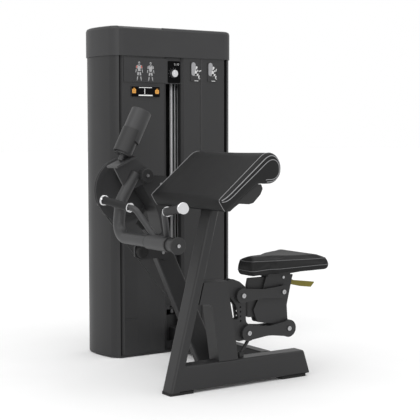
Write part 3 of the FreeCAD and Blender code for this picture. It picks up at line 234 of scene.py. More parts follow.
def sheathing(name, rgb, rough=0.3):
    """The coat of a steel cable, with its strands just felt under it."""
    f = Finish(name)
    lay = f.cells(scale=900.0)
    wide = f.noise(scale=40.0)
    f.color(wide, dark=shade(rgb, 0.8), light=shade(rgb, 1.2))
    f.rough(lay * 0.1 + rough)
    f.bump(lay, strength=0.2, distance=0.0003)
    return f.mat


def ink(name, rgb, rough=0.5, specular=0.5):
    f = Finish(name)
    grain = f.noise(scale=700.0, detail=2.0)
    f.color(grain, dark=shade(rgb, 0.88), light=shade(rgb, 1.1))
    f.rough(grain * 0.12 + (rough - 0.06))
    f.fixed(Specular_IOR_Level=specular)
    return f.mat


finishes = {
    "graphite_paint": powder_coat("graphite_paint", (0.020, 0.020, 0.0206)),
    "panel_paint": powder_coat("panel_paint", (0.026, 0.026, 0.0267), rough=0.5),
    "arm_paint": powder_coat("arm_paint", (0.036, 0.036, 0.037), rough=0.42),
    "cap_plastic": moulded("cap_plastic", (0.030, 0.030, 0.031), grain=1100.0),
    "black_plastic": moulded("black_plastic", (0.018, 0.018, 0.0185), rough=0.48),
    "sign_plastic": moulded("sign_plastic", (0.021, 0.021, 0.022), rough=0.42,
                            grain=1800.0, strength=0.04, coat=0.1),
    "chrome": metal("chrome", (0.66, 0.66, 0.67), rough=0.16, streak=200.0, strength=0.02),
    "bright_steel": metal("bright_steel", (0.62, 0.62, 0.63), rough=0.32, stretch=(1, 1, 12)),
    "bolt_steel": metal("bolt_steel", (0.43, 0.43, 0.437), rough=0.36, streak=500.0, strength=0.1),
    "plate_iron": casting("plate_iron", (0.022, 0.022, 0.023)),
    "black_rubber": rubber("black_rubber", (0.014, 0.014, 0.014)),
    "grip_rubber": rubber("grip_rubber", (0.013, 0.013, 0.0135), rough=0.6),
    "upholstery": hide("upholstery", (0.012, 0.012, 0.0123)),
    "cable_coat": sheathing("cable_coat", (0.012, 0.012, 0.012)),
    "lever_paint": moulded("lever_paint", (0.14, 0.117, 0.003), rough=0.42,
                           grain=900.0, strength=0.08, coat=0.2),
}
ground_rods = metal("ground_rods", (0.74, 0.74, 0.75), rough=0.34, stretch=(1, 1, 12), metallic=0.3)
# Painted highlight: both piping greys stand in for the light lines the cords catch, the lighter grey on the
# arm pad and the darker grey on the seat
pad_piping_painted_highlight = powder_coat("pad_piping_painted_highlight", (0.26, 0.26, 0.265), rough=0.55)
seat_piping_painted_highlight = powder_coat("seat_piping_painted_highlight", (0.12, 0.12, 0.123), rough=0.55)
sewing_thread = powder_coat("thread", (0.03, 0.03, 0.031), rough=0.6)
inks = {
    "grey": ink("ink_grey", (0.30, 0.30, 0.31)),
    "light": ink("ink_light", (0.62, 0.62, 0.62)),
    "figure": ink("ink_figure", (0.36, 0.36, 0.365)),
    "white": ink("ink_white", (0.80, 0.80, 0.79)),
    "red": ink("ink_red", (0.55, 0.06, 0.03)),
    "amber": ink("ink_amber", (0.72, 0.33, 0.05)),
    "dark": ink("ink_dark", (0.02, 0.02, 0.021), specular=0.03),
    "black": ink("ink_black", (0.004, 0.004, 0.0043), rough=0.6, specular=0.03),
}

slot_of = {part["node"]: part["material_slot"] for part in frame["record"]["subparts"]}
for node_name, obj in nodes.items():
    obj.data.materials.clear()
    obj.data.materials.append(finishes[slot_of[node_name]])
nodes["guide_rods"].data.materials[0] = ground_rods


# Lines and outlines
def rounded(corners, radii, steps=8):
    """Points round a closed outline whose corners have the given radii."""
    result = []
    count = len(corners)
    for i in range(count):
        here = Vector(corners[i])
        back = (Vector(corners[i - 1]) - here).normalized()
        ahead = (Vector(corners[(i + 1) % count]) - here).normalized()
        half = back.angle(ahead) / 2
        reach = radii[i] / math.tan(half)
        centre = here + (back + ahead).normalized() * (radii[i] / math.sin(half))
        a = here + back * reach - centre
        b = here + ahead * reach - centre
        for k in range(steps + 1):
            mix = a.lerp(b, k / steps)
            result.append(centre + mix.normalized() * radii[i])
    return result


def drawn_in(corners, amount):
    """Corners of an outline, taken clockwise, moved inward by an even amount."""
    result = []
    count = len(corners)
    for i in range(count):
        here = Vector(corners[i])
        a = (here - Vector(corners[i - 1])).normalized()
        b = (Vector(corners[(i + 1) % count]) - here).normalized()
        na, nb = Vector((a.y, -a.x)), Vector((b.y, -b.x))
        result.append(here + (na + nb) * (amount / (1 + na.dot(nb))))
    return result


def even(path, step, closed=False):
    """The same path with points at even steps."""
    points = list(path) + ([path[0]] if closed else [])
    lengths = [0.0]
    for a, b in zip(points, points[1:]):
        lengths.append(lengths[-1] + (b - a).length)
    count = max(4, int(round(lengths[-1] / step)))
    result = []
    seg = 0
    for k in range(count if closed else count + 1):
        goal = lengths[-1] * k / count
        while seg < len(points) - 2 and lengths[seg + 1] < goal:
            seg += 1
        span = lengths[seg + 1] - lengths[seg]
        share = (goal - lengths[seg]) / span if span else 0.0
        result.append(points[seg].lerp(points[seg + 1], share))
    return result


def relaxed(path, rounds, closed=False):
    """The same path with its bends eased, each round halfway to the neighbours."""
    points = list(path)
    count = len(points)
    for _ in range(rounds):
        new = list(points)
        for i in range(count) if closed else range(1, count - 1):
            new[i] = points[i] * 0.5 + (points[i - 1] + points[(i + 1) % count]) * 0.25
        points = new
    return points


def near(point, path, reach):
    return min((point - q).length_squared for q in path) < reach * reach


def lay_on(obj, path, lift):
    """Points of a path moved onto the skin of an object."""
    tree = BVHTree.FromObject(obj, bpy.context.evaluated_depsgraph_get())
    result = []
    for q in path:
        spot, normal, _, _ = tree.find_nearest(q)
        result.append(spot + normal * lift)
    return result


# Mesh tools
def make_mesh(name, verts, faces, slot_name, body):
    mesh = bpy.data.meshes.new(name)
    mesh.from_pydata([tuple(v) for v in verts], [], faces)
    obj = bpy.data.objects.new(name, mesh)
    scene.collection.objects.link(obj)
    obj.data.materials.append(finishes[slot_name])
    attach(obj, body)
    return obj


def applied(obj):
    """The object with its modifiers worked into its mesh."""
    graph = bpy.context.evaluated_depsgraph_get()
    mesh = bpy.data.meshes.new_from_object(obj.evaluated_get(graph), depsgraph=graph)
    obj.modifiers.clear()
    obj.data = mesh
    return obj


def smooth_shaded(obj):
    for poly in obj.data.polygons:
        poly.use_smooth = True


class Growth:
    """A Geometry Nodes tree with named sizes, which ends in Realize Instances and Set Material."""

    def __init__(self, name, sizes):
        self.tree = bpy.data.node_groups.new(name, "GeometryNodeTree")
        sockets = self.tree.interface
        sockets.new_socket("Geometry", in_out="INPUT", socket_type="NodeSocketGeometry")
        for size, value in sizes.items():
            sockets.new_socket(size, in_out="INPUT", socket_type="NodeSocketFloat").default_value = value
        sockets.new_socket("Material", in_out="INPUT", socket_type="NodeSocketMaterial")
        sockets.new_socket("Geometry", in_out="OUTPUT", socket_type="NodeSocketGeometry")
        self.given = self.tree.nodes.new("NodeGroupInput").outputs
        self.result = self.tree.nodes.new("NodeGroupOutput").inputs[0]

    def add(self, kind, settings=None, **values):
        node = self.tree.nodes.new(kind)
        for key, value in (settings or {}).items():
            setattr(node, key, value)
        for key, value in values.items():
            socket = node.inputs[key.replace("_", " ")]
            if isinstance(value, bpy.types.NodeSocket):
                self.tree.links.new(value, socket)
            else:
                socket.default_value = value
        return node.outputs[0]

    def close(self, geometry):
        plain = self.add("GeometryNodeRealizeInstances", Geometry=geometry)
        painted = self.add("GeometryNodeSetMaterial", Geometry=plain, Material=self.given["Material"])
        self.tree.links.new(painted, self.result)
        return self.tree


def piping_tree():
    """A round cord along the given line."""
    g = Growth("piping", {"Radius": 0.0016})
    line = g.add("GeometryNodeMeshToCurve", Mesh=g.given["Geometry"])
    ring = g.add("GeometryNodeCurvePrimitiveCircle", Resolution=10, Radius=g.given["Radius"])
    return g.close(g.add("GeometryNodeCurveToMesh", Curve=line, Profile_Curve=ring, Fill_Caps=True))


def stitch_tree():
    """Even stitches along the given line, each a short rounded thread."""
    g = Growth("stitches", {"Spacing": 0.006, "Length": 0.0042, "Thread": 0.0005})
    line = g.add("GeometryNodeMeshToCurve", Mesh=g.given["Geometry"])
    spots = g.add("GeometryNodeResampleCurve", {"mode": "LENGTH"}, Curve=line, Length=g.given["Spacing"])
    half = g.add("ShaderNodeMath", {"operation": "MULTIPLY"}, Value=g.given["Length"])
    half.node.inputs[1].default_value = 0.5
    size = g.add("ShaderNodeCombineXYZ", X=g.given["Thread"], Y=g.given["Thread"], Z=half)
    tangent = g.add("GeometryNodeInputTangent")
    along = g.add("FunctionNodeAlignRotationToVector", {"axis": "Z"}, Vector=tangent)
    thread = g.add("GeometryNodeMeshUVSphere", Segments=6, Rings=4, Radius=1.0)
    return g.close(g.add("GeometryNodeInstanceOnPoints", Points=spots, Instance=thread,
                         Rotation=along, Scale=size))


def grown(name, lines, tree, sizes, material, body):
    """Lines of points, each with a mark for a closed one, made solid by a tree and set on a body."""
    verts, edges = [], []
    for points, closed in lines:
        first = len(verts)
        verts += [tuple(q) for q in points]
        edges += [(first + i, first + i + 1) for i in range(len(points) - 1)]
        if closed:
            edges.append((len(verts) - 1, first))
    mesh = bpy.data.meshes.new(name)
    mesh.from_pydata(verts, edges, [])
    obj = bpy.data.objects.new(name, mesh)
    scene.collection.objects.link(obj)
    mod = obj.modifiers.new("growth", "NODES")
    mod.node_group = tree
    values = {"Material": material, **sizes}
    for item in tree.interface.items_tree:
        if item.in_out == "INPUT" and item.name in values:
            mod[item.identifier] = values[item.name]
    applied(obj)
    smooth_shaded(obj)
    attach(obj, body)
    return obj


cord, stitches = piping_tree(), stitch_tree()


# Upholstery
CLOTH_STEPS = 20
CLOTH_PRESSURE = 4.0


def eased(obj, factor, rounds):
    mod = obj.modifiers.new("even", "SMOOTH")
    mod.factor = factor
    mod.iterations = rounds


def cushion_grid(name, node, voxel):
    """A copy of a CAD cushion as an even closed grid."""
    obj = bpy.data.objects.new(name, nodes[node].data.copy())
    scene.collection.objects.link(obj)
    mod = obj.modifiers.new("grid", "REMESH")
    mod.mode = "VOXEL"
    mod.voxel_size = voxel
    eased(obj, 0.5, 3)
    return applied(obj)


def blown_up(obj, weights, cap):
    """Swells an object as cloth. Held points stay by their weight, and none moves further than cap."""
    vertices = obj.data.vertices
    start = [v.co.copy() for v in vertices]
    group = obj.vertex_groups.new(name="held")
    for i, weight in enumerate(weights):
        if weight > 0:
            group.add([i], weight, "REPLACE")
    cloth = obj.modifiers.new("cloth", "CLOTH")
    settings = cloth.settings
    settings.quality = 5
    settings.mass = 0.3
    settings.tension_stiffness = 12
    settings.compression_stiffness = 12
    settings.shear_stiffness = 4
    settings.bending_stiffness = 0.4
    settings.use_pressure = True
    settings.uniform_pressure_force = CLOTH_PRESSURE
    settings.effector_weights.gravity = 0
    settings.vertex_group_mass = group.name
    cloth.collision_settings.use_collision = False
    for step in range(1, CLOTH_STEPS + 1):
        scene.frame_set(step)
    graph = bpy.context.evaluated_depsgraph_get()
    moved = [v.co.copy() for v in obj.evaluated_get(graph).data.vertices]
    obj.modifiers.clear()
    scene.frame_set(1)
    for v, a, b in zip(vertices, start, moved):
        way = b - a
        if way.length > cap:
            way = way * (cap / way.length)
        v.co = a + way


def swollen(name, node, voxel, shrink, cap, held):
    """A padded cover for a CAD cushion: drawn in a little, then blown up between its seams."""
    obj = cushion_grid(name, node, voxel)
    vertices = obj.data.vertices
    normals = [v.normal.copy() for v in vertices]
    for v, normal in zip(vertices, normals):
        v.co = v.co - normal * shrink
    blown_up(obj, [held(v.co, normal) for v, normal in zip(vertices, normals)], cap)
    eased(obj, 0.4, 2)
    mod = obj.modifiers.new("finer", "SUBSURF")
    mod.levels = mod.render_levels = 1
    applied(obj)
    obj.data.materials.clear()
    obj.data.materials.append(finishes["upholstery"])
    smooth_shaded(obj)
    return obj


# Arm pad: its end in millimetres, from the lower edge up the incline and round the roll
PAD = [(-144, 900), (195, 1181), (195, 964), (72, 964), (-107, 844)]
PAD_ROUND = [8, 66, 64, 8, 8]
PAD_CORNER_STEPS = 12
PAD_VOXEL, PAD_SHRINK, PAD_SWELL = 0.0065, 0.002, 0.006
PAD_SEAM_REACH = 0.005
PAD_UNDERSIDE = -0.55
RIM_INSET, RIM_STEP, RIM_RADIUS = 0.020, 0.006, 0.0014
RIM_TAIL = 4
PAD_STITCH_INSET = 0.026
PAD_STITCH_ENDS = (12, -8)
STITCH_LIFT = 0.0002

# Two cords on each end of the pad, in millimetres: they leave the low corner in a bend and follow the roll
OUTER_CORD = [(-138, 900), (-120, 907), (-104, 915), (-78, 935), (-34, 970), (11, 1007), (56, 1043),
              (101, 1080), (118, 1090), (136, 1094), (154, 1090), (173, 1075), (186, 1052), (190, 1028),
              (187, 1008), (176, 992), (158, 978), (136, 971), (112, 969)]
INNER_CORD = [(-137, 890), (-124, 891), (-109, 895), (-93, 904), (-78, 914), (-34, 950), (11, 985),
              (56, 1020), (101, 1057), (122, 1071), (143, 1075), (162, 1068), (176, 1051), (180, 1029),
              (177, 1008), (163, 992), (141, 983), (121, 984), (108, 987), (103, 982)]
CORD_STEP, CORD_EASE, CORD_LIFT = 0.005, 6, 0.0008
OUTER_RADIUS, INNER_RADIUS = 0.0021, 0.0016
CORD_SINK_SHARE = 0.35

pad_low, pad_high = box_of("arm_pad")
incline = Vector(PAD[1]) - Vector(PAD[0])
PAD_FACING = Vector((-incline.y, 0, incline.x)).normalized()


def pad_line(y):
    """Line round the pad at one station, from its lower edge up the incline and round the roll."""
    corners = [(x, z, 0) for x, z in metres(PAD)]
    outline = rounded(corners, [radius / 1000 for radius in PAD_ROUND], PAD_CORNER_STEPS)
    half_corner = PAD_CORNER_STEPS // 2 + 1
    three_corners = 3 * (PAD_CORNER_STEPS + 1)
    points = even(outline[-half_corner:] + outline[:three_corners + half_corner], RIM_STEP)
    return [at(q.x, y, q.y) for q in points]


def end_cord(y, places):
    path = even([at(x, y, z) for x, z in metres(places)], CORD_STEP)
    return relaxed(path, CORD_EASE)


pad_seam, pad_cords, pad_rows = [], [], []
first_stitch, last_stitch = PAD_STITCH_ENDS
for side, edge, inward in (("near", pad_low.y, 1), ("far", pad_high.y, -1)):
    rim = pad_line(edge + inward * RIM_INSET)
    outer = end_cord(edge + inward * CORD_LIFT, OUTER_CORD)
    inner = end_cord(edge + inward * CORD_LIFT, INNER_CORD)
    pad_seam += rim + outer
    pad_cords.append((side, (rim[:-RIM_TAIL], RIM_RADIUS), (outer, OUTER_RADIUS), (inner, INNER_RADIUS)))
    pad_rows.append(pad_line(edge + inward * PAD_STITCH_INSET)[first_stitch:last_stitch])


def pad_held(co, normal):
    if normal.dot(PAD_FACING) < PAD_UNDERSIDE:
        return 1.0
    return 1.0 if near(co, pad_seam, PAD_SEAM_REACH) else 0.0


arm_pad = swollen("arm_pad_cover", "arm_pad", PAD_VOXEL, PAD_SHRINK, PAD_SWELL, pad_held)
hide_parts("arm_pad")
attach(arm_pad, "frame")
for side, *cords in pad_cords:
    for number, (line, radius) in enumerate(cords, 1):
        line = relaxed(lay_on(arm_pad, line, radius * CORD_SINK_SHARE), 2)
        name = "pad_piping_%s_%d" % (side, number)
        grown(name, [(line, False)], cord, {"Radius": radius}, pad_piping_painted_highlight, "frame")
pad_rows = [(relaxed(lay_on(arm_pad, row, STITCH_LIFT), 2), False) for row in pad_rows]
grown("pad_stitches", pad_rows, stitches, {}, sewing_thread, "frame")


# Seat cushion: its outline in its own tilted frame, in millimetres
SEAT = [(-14, 66), (84, 82), (112, 107), (366, 206), (366, -206), (112, -107), (84, -82), (-14, -66)]
SEAT_PLACE = (212, 514)
SEAT_TILT = math.radians(4.2)
SEAT_FRONT, SEAT_EDGE = -14, 28
# share by which the cushion gets thinner above its edge, for each millimetre behind its front
SEAT_TAPER = 0.00082
SEAT_ROUND, SEAT_ROUND_LOSS = 0.026, 0.0005
SEAT_STEP = 0.005
# height over the cushion's foot and distance drawn in, for both seams and for the stitches
SEAT_SEAMS = ((28, 0), (77, 10))
SEAT_STITCHES = (72, 4)
SEAT_VOXEL, SEAT_SHRINK, SEAT_SWELL = 0.005, 0.0035, 0.006
SEAT_SEAM_REACH = 0.004
SEAT_UNDERSIDE = -0.8
SEAT_CORD, SEAT_CORD_LIFT = 0.0015, 0.0006

seat_low, seat_high = box_of("seat_cushion")
seat_middle = (seat_low.y + seat_high.y) / 2


def on_seat(x, y, z):
    z = z - max(z - SEAT_EDGE, 0) * (x - SEAT_FRONT) * SEAT_TAPER
    c, s = math.cos(SEAT_TILT), math.sin(SEAT_TILT)
    over, up = SEAT_PLACE
    return at((over + x * c - z * s) / 1000, seat_middle + y / 1000, (up + x * s + z * c) / 1000)


def seat_line(level, inset):
    corners = [(x, y, 0) for x, y in metres(drawn_in(SEAT, inset))]
    radius = SEAT_ROUND - inset * SEAT_ROUND_LOSS
    points = even(rounded(corners, [radius] * len(SEAT)), SEAT_STEP, closed=True)
    return [on_seat(q.x * 1000, q.y * 1000, level) for q in points]


seat_seams = [seat_line(level, inset) for level, inset in SEAT_SEAMS]
seat_seam_points = [q for seam in seat_seams for q in seam]


def seat_held(co, normal):
    if normal.z < SEAT_UNDERSIDE:
        return 1.0
    return 1.0 if near(co, seat_seam_points, SEAT_SEAM_REACH) else 0.0


seat = swollen("seat_cover", "seat_cushion", SEAT_VOXEL, SEAT_SHRINK, SEAT_SWELL, seat_held)
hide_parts("seat_cushion")
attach(seat, "carriage")
for number, seam in enumerate(seat_seams, 1):
    line = relaxed(lay_on(seat, seam, SEAT_CORD_LIFT), 3, closed=True)
    grown("seat_piping_%d" % number, [(line, True)], cord, {"Radius": SEAT_CORD}, seat_piping_painted_highlight, "carriage")
seat_row = relaxed(lay_on(seat, seat_line(*SEAT_STITCHES), STITCH_LIFT), 3, closed=True)
grown("seat_stitches", [(seat_row, True)], stitches, {}, sewing_thread, "carriage")


# Cam web: a plain disc inside the cam's rim
WEB_RADIUS, WEB_HALF = 0.1358, 0.0052
WEB_SIDES = 96

cam_low, cam_high = box_of("cam")
web_middle = (cam_low + cam_high) / 2
web_verts = []
for y in (web_middle.y - WEB_HALF, web_middle.y + WEB_HALF):
    for k in range(WEB_SIDES):
        angle = 2 * math.pi * k / WEB_SIDES
        web_verts.append(at(web_middle.x + WEB_RADIUS * math.cos(angle), y,
                            web_middle.z + WEB_RADIUS * math.sin(angle)))
web_faces = []
for k in range(WEB_SIDES):
    n = (k + 1) % WEB_SIDES
    web_faces.append((k, WEB_SIDES + k, WEB_SIDES + n, n))
web_faces.append(tuple(range(WEB_SIDES)))
web_faces.append(tuple(reversed(range(WEB_SIDES, 2 * WEB_SIDES))))
make_mesh("cam_web", web_verts, web_faces, slot_of["cam"], "arm")


# Cable over the stack: on the machine it gets shorter as the head rises, with its upper end fixed; here it
# is a straight cord from its foot to its top, with a mesh of its own
cable_low, cable_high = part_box("stack_cable")
cable_middle = (cable_low + cable_high) / 2
cable_top = Vector((cable_middle.x, cable_middle.y, cable_high.z))
cable_foot = Vector((cable_middle.x, cable_middle.y, cable_low.z))
cable_radius = (cable_high.x - cable_low.x) / 2
stack_line = grown("stack_cable_line", [([cable_foot, cable_top], False)], cord, {"Radius": cable_radius},
                   finishes["cable_coat"], "frame")
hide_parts("stack_cable")
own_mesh(stack_line)


# Signs: flat shapes as seen from the front
def bar(x0, x1, z0, z1):
    return [(x0, z0), (x1, z0), (x1, z1), (x0, z1)]


def rounded_plate(x0, x1, z0, z1, radius):
    corners = [(x, z, 0) for x, z in bar(x0, x1, z0, z1)]
    return [(q.x, q.y) for q in rounded(corners, [radius] * 4, 6)]


def disc(x, z, radius, sides):
    turns = [2 * math.pi * k / sides for k in range(sides)]
    return [(x + radius * math.cos(turn), z + radius * math.sin(turn)) for turn in turns]


def limb(a, b, r0, r1, sides=8):
    """Tapered rounded bar from a to b."""
    angle = math.atan2(b[1] - a[1], b[0] - a[0])
    points = []
    for (x, z), radius, start in ((a, r0, angle + math.pi / 2), (b, r1, angle - math.pi / 2)):
        for k in range(sides + 1):
            turn = start + math.pi * k / sides
            points.append((x + radius * math.cos(turn), z + radius * math.sin(turn)))
    return points


def printed(name, shapes, color, y):
    """Thin printed shapes lying on a plate that faces the front."""
    verts, faces = [], []
    for outline in shapes:
        first = len(verts)
        verts += [at(x, y, z) for x, z in outline]
        faces.append(tuple(range(first, first + len(outline))))
    obj = make_mesh(name, verts, faces, "sign_plastic", "frame")
    obj.data.materials[0] = inks[color]
    mesh = bmesh.new()
    mesh.from_mesh(obj.data)
    for face in mesh.faces:
        face.normal_update()
        if face.normal.y > 0:
            face.normal_flip()
    mesh.to_mesh(obj.data)
    mesh.free()


# A standing figure's right half in shares of its height. Limbs have a start, an end and two radii
STANDING_WIDTH = 0.84
TRUNK_SHARES = [(0.0, 0.83), (0.155, 0.80), (0.15, 0.72), (0.09, 0.57), (0.115, 0.46), (0.0, 0.42)]
NECK_SHARES = ((0.0, 0.90), (0.0, 0.80), 0.032, 0.04)
LIMB_SHARES = [
    ((0.165, 0.75), (0.20, 0.61), 0.042, 0.034),
    ((0.20, 0.61), (0.235, 0.46), 0.032, 0.02),
    ((0.062, 0.45), (0.105, 0.24), 0.052, 0.038),
    ((0.105, 0.24), (0.145, 0.03), 0.036, 0.02),
    ((0.145, 0.018), (0.175, 0.014), 0.02, 0.016),
]
MARK_SHARES = ((0.168, 0.745), (0.186, 0.67), 0.030, 0.024)
HEAD_SHARES = ((0.0, 0.935), 0.058)
HAND_SHARES = ((0.245, 0.435), 0.024)


def standing(x, z, s):
    """A plain standing figure seen from the front, s high, and the marks on its upper arms."""
    def spot(side, place):
        return (x + side * place[0] * STANDING_WIDTH * s, z + place[1] * s)

    def part(side, shares):
        start, end, r0, r1 = shares
        return limb(spot(side, start), spot(side, end), r0 * s, r1 * s)

    head, head_radius = HEAD_SHARES
    hand, hand_radius = HAND_SHARES
    right = [spot(1, place) for place in TRUNK_SHARES]
    left = [spot(-1, place) for place in reversed(TRUNK_SHARES[1:-1])]
    body = [disc(*spot(1, head), head_radius * s, 20), part(1, NECK_SHARES), right + left]
    for side in (-1, 1):
        body += [part(side, shares) for shares in LIMB_SHARES]
        body.append(disc(*spot(side, hand), hand_radius * s, 12))
    return body, [part(side, MARK_SHARES) for side in (-1, 1)]


# A seated figure in profile in shares of its height, and its limbs with their radii
SEATED_SHARES = {
    "head": (-0.02, 0.89), "neck": (-0.06, 0.74), "shoulder": (-0.06, 0.70), "elbow": (0.16, 0.58),
    "hip": (-0.10, 0.34), "knee": (0.20, 0.34), "foot": (0.16, 0.05), "toe": (0.27, 0.03),
}
SEATED_LIMB_SHARES = [
    ("neck", "hip", 0.08, 0.10), ("hip", "knee", 0.085, 0.065), ("knee", "foot", 0.06, 0.04),
    ("foot", "toe", 0.03, 0.025), ("shoulder", "elbow", 0.055, 0.045), ("elbow", "hand", 0.045, 0.035),
]
SEATED_HEAD_SHARE = 0.085
FOREARM_SHARE = 0.22


def seated(x, z, s, forearm):
    """A plain seated figure in profile, s high, its forearm at the given angle."""
    spots = {name: (x + px * s, z + pz * s) for name, (px, pz) in SEATED_SHARES.items()}
    elbow_x, elbow_z = spots["elbow"]
    reach = FOREARM_SHARE * s
    spots["hand"] = (elbow_x + reach * math.cos(forearm), elbow_z + reach * math.sin(forearm))
    limbs = [limb(spots[a], spots[b], r0 * s, r1 * s) for a, b, r0, r1 in SEATED_LIMB_SHARES]
    return [disc(*spots["head"], SEATED_HEAD_SHARE * s, 20)] + limbs


# Prints lie just proud of their plates, and the later ones over the first. Boxes are left, right, foot, top
PRINT_LIFT, PRINT_STEP = 0.0003, 0.0001
SIGN_FACE = box_of("sign_plates")[0].y - PRINT_LIFT
NUMBER_FACE = 0.0157

FIGURE_HEIGHT = 0.1
FIGURE_FEET = ((0.117, 1.468), (0.187, 1.4665))
people = []
for number, (x, z) in enumerate(FIGURE_FEET):
    body, marks = standing(x, z, FIGURE_HEIGHT)
    people += body
    if number == 0:
        printed("placard_marks", marks, "red", SIGN_FACE - PRINT_STEP)
printed("placard_people", people, "figure", SIGN_FACE)

NOTICE_BOX, NOTICE_ROUND = (0.0695, 0.2425, 1.3835, 1.4365), 0.003
NOTICE_LINES = ((0.115, 0.194, 1.4300, 1.4332), (0.1485, 0.1522, 1.397, 1.4275),
                (0.113, 0.198, 1.3875, 1.3940))
ICON_BOXES, ICON_ROUND = ((0.0740, 0.0970, 1.4010, 1.4240), (0.2145, 0.2380, 1.4000, 1.4215)), 0.005
ICON_KNOBS, ICON_KNOB = ((0.0855, 1.4255), (0.2262, 1.4230)), 0.004
ICON_LINES = ((0.0780, 0.0925, 1.4105, 1.4122), (0.2200, 0.2325, 1.4095, 1.4112))
ICON_DOT = (0.0855, 1.4175, 0.0016)
icons = [rounded_plate(*box, ICON_ROUND) for box in ICON_BOXES]
icons += [disc(*place, ICON_KNOB, 16) for place in ICON_KNOBS]
printed("notice_icons", icons, "amber", SIGN_FACE)
icon_marks = [bar(*box) for box in ICON_LINES] + [disc(*ICON_DOT, 12)]
printed("notice_icon_marks", icon_marks, "dark", SIGN_FACE - PRINT_STEP)
printed("notice_lines", [bar(*box) for box in NOTICE_LINES], "white", SIGN_FACE)

GUIDE_PLACES = ((0.458, 1.501), (0.569, 1.502))
GUIDE_FOREARMS = (0.3, 1.2)
GUIDE_PAD_FOOT, GUIDE_PAD_TOP, GUIDE_PAD_RADIUS = 0.014, 0.060, 0.0135
GUIDE_PERSON_OVER, GUIDE_PERSON_DROP, GUIDE_PERSON_HEIGHT = 0.021, 0.017, 0.072
GUIDE_LINE_LEFT, GUIDE_LINE_RIGHT, GUIDE_LINE_FOOT, GUIDE_LINE_TOP = 0.006, 0.031, 0.0275, 0.0240
for number, ((x, z), forearm) in enumerate(zip(GUIDE_PLACES, GUIDE_FOREARMS), 1):
    name = "guide_%d_" % number
    pad = limb((x, z + GUIDE_PAD_FOOT), (x, z + GUIDE_PAD_TOP), GUIDE_PAD_RADIUS, GUIDE_PAD_RADIUS)
    person = seated(x + GUIDE_PERSON_OVER, z - GUIDE_PERSON_DROP, GUIDE_PERSON_HEIGHT, forearm)
    line = bar(x + GUIDE_LINE_LEFT, x + GUIDE_LINE_RIGHT, z - GUIDE_LINE_FOOT, z - GUIDE_LINE_TOP)
    printed(name + "pad", [pad], "grey", SIGN_FACE)
    printed(name + "person", person, "light", SIGN_FACE - PRINT_STEP)
    printed(name + "line", [line], "light", SIGN_FACE)

NUMBER_BOX, NUMBER_ROUND = (0.3045, 0.3835, 1.4600, 1.5780), 0.007
TICKS, TICK_FIRST, TICK_TURN = 9, math.radians(-30), math.radians(30)
TICK_NEAR, TICK_FAR, TICK_RADIUS = 0.0270, 0.0305, 0.0006
NUMERALS = (("5", 0.3500), ("10", 0.3680))
NUMERAL_LEVEL, NUMERAL_HEIGHT = 1.5600, 0.017


def numeral(text, x):
    """A plain numeral as a flat mesh."""
    curve = bpy.data.curves.new("numeral", "FONT")
    curve.body = text
    curve.size = NUMERAL_HEIGHT
    curve.align_x = "CENTER"
    curve.align_y = "CENTER"
    holder = bpy.data.objects.new("numeral", curve)
    scene.collection.objects.link(holder)
    graph = bpy.context.evaluated_depsgraph_get()
    mesh = bpy.data.meshes.new_from_object(holder.evaluated_get(graph), depsgraph=graph)
    bpy.data.objects.remove(holder)
    place = at(x, NUMBER_FACE - PRINT_STEP, NUMERAL_LEVEL)
    mesh.transform(Matrix.Translation(place) @ Matrix.Rotation(math.pi / 2, 4, "X"))
    mesh.materials.clear()
    mesh.materials.append(inks["light"])
    obj = bpy.data.objects.new("numeral_" + text, mesh)
    scene.collection.objects.link(obj)
    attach(obj, "frame")


printed("notice_ground", [rounded_plate(*NOTICE_BOX, NOTICE_ROUND)], "black", SIGN_FACE + PRINT_STEP)
printed("number_ground", [rounded_plate(*NUMBER_BOX, NUMBER_ROUND)], "black", NUMBER_FACE)
dial_low, dial_high = box_of("selector_dial")
dial = (dial_low + dial_high) / 2
ticks = []
for k in range(TICKS):
    turn = TICK_FIRST + TICK_TURN * k
    ends = [(dial.x + r * math.cos(turn), dial.z + r * math.sin(turn)) for r in (TICK_NEAR, TICK_FAR)]
    ticks.append(limb(*ends, TICK_RADIUS, TICK_RADIUS, 4))
printed("number_ticks", ticks, "grey", NUMBER_FACE - PRINT_STEP)
for text, x in NUMERALS:
    numeral(text, x)


# Camera
CAMERA_PLACE = (-2.823, -5.057, 1.188)
CAMERA_YAW, CAMERA_PITCH, CAMERA_ROLL = math.radians(33.5), math.radians(4.339), math.radians(0.063)
CAMERA_LENS, CAMERA_SENSOR, CAMERA_REACH = 94.47, 36.0, 200.0
CAMERA_SHIFT = (0.0155, 0.0176)

camera_data = bpy.data.cameras.new("camera")
camera_data.sensor_width = CAMERA_SENSOR
camera_data.lens = CAMERA_LENS
camera_data.shift_x, camera_data.shift_y = CAMERA_SHIFT
camera_data.clip_end = CAMERA_REACH
camera = bpy.data.objects.new("camera", camera_data)
scene.collection.objects.link(camera)
camera.location = at(*CAMERA_PLACE)
camera.rotation_euler = (math.pi / 2 - CAMERA_PITCH, CAMERA_ROLL, -CAMERA_YAW)
scene.camera = camera
scene.view_settings.view_transform = "Standard"

# Light: a white room that is dimmer where it only lights the object, and three wide suns
ROOM_LIGHT, ROOM_SEEN = 0.62, 1.0
# name, strength, and in degrees the sun's width, its way round from the front and its height
SUNS = (("key", 0.9, 40, -70, 48), ("top", 1.0, 60, 20, 75), ("front", 0.6, 14, -30, 12))

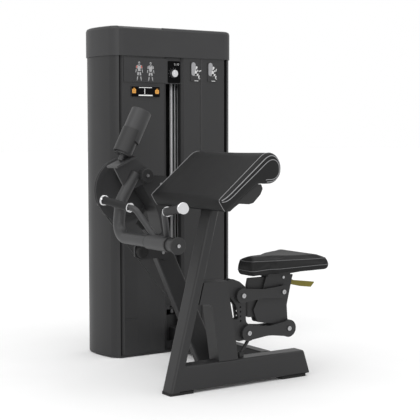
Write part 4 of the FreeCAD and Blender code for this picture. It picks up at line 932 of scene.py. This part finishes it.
world = bpy.data.worlds.new("studio")
scene.world = world
world.use_nodes = True
tree = world.node_tree
lighting, seen = tree.nodes["Background"], tree.nodes.new("ShaderNodeBackground")
for node, strength in ((lighting, ROOM_LIGHT), (seen, ROOM_SEEN)):
    node.inputs["Color"].default_value = (1, 1, 1, 1)
    node.inputs["Strength"].default_value = strength
rays = tree.nodes.new("ShaderNodeLightPath").outputs
straight, mirrored, through = [Value(tree, rays["Is %s Ray" % kind])
                               for kind in ("Camera", "Glossy", "Transmission")]
mix = tree.nodes.new("ShaderNodeMixShader")
tree.links.new((straight + mirrored + through).clamp().socket, mix.inputs["Fac"])
tree.links.new(lighting.outputs[0], mix.inputs[1])
tree.links.new(seen.outputs[0], mix.inputs[2])
tree.links.new(mix.outputs[0], tree.nodes["World Output"].inputs["Surface"])

for name, strength, width, azimuth, height in SUNS:
    sun_data = bpy.data.lights.new(name, "SUN")
    sun_data.energy = strength
    sun_data.angle = math.radians(width)
    sun = bpy.data.objects.new(name, sun_data)
    scene.collection.objects.link(sun)
    a, h = math.radians(azimuth), math.radians(height)
    toward = Vector((math.sin(a) * math.cos(h), -math.cos(a) * math.cos(h), math.sin(h)))
    sun.rotation_euler = toward.to_track_quat("Z", "Y").to_euler()

# Floor
FLOOR_REACH, FLOOR_DROP = 60, 0.0005
FLOOR_DARK, FLOOR_LIGHT = (0.90, 0.90, 0.90), (0.93, 0.93, 0.93)

floor_mesh = bpy.data.meshes.new("floor")
floor_corners = [(x, y, 0) for x, y in bar(-FLOOR_REACH, FLOOR_REACH, -FLOOR_REACH, FLOOR_REACH)]
floor_mesh.from_pydata(floor_corners, [], [(0, 1, 2, 3)])
floor = bpy.data.objects.new("floor", floor_mesh)
scene.collection.objects.link(floor)
floor.location.z = -FLOOR_DROP
floor_finish = Finish("floor_white")
floor_finish.color(floor_finish.noise(scale=3.0), FLOOR_DARK, FLOOR_LIGHT)
floor_finish.fixed(Roughness=0.8, Specular_IOR_Level=0.2)
floor.data.materials.append(floor_finish.mat)
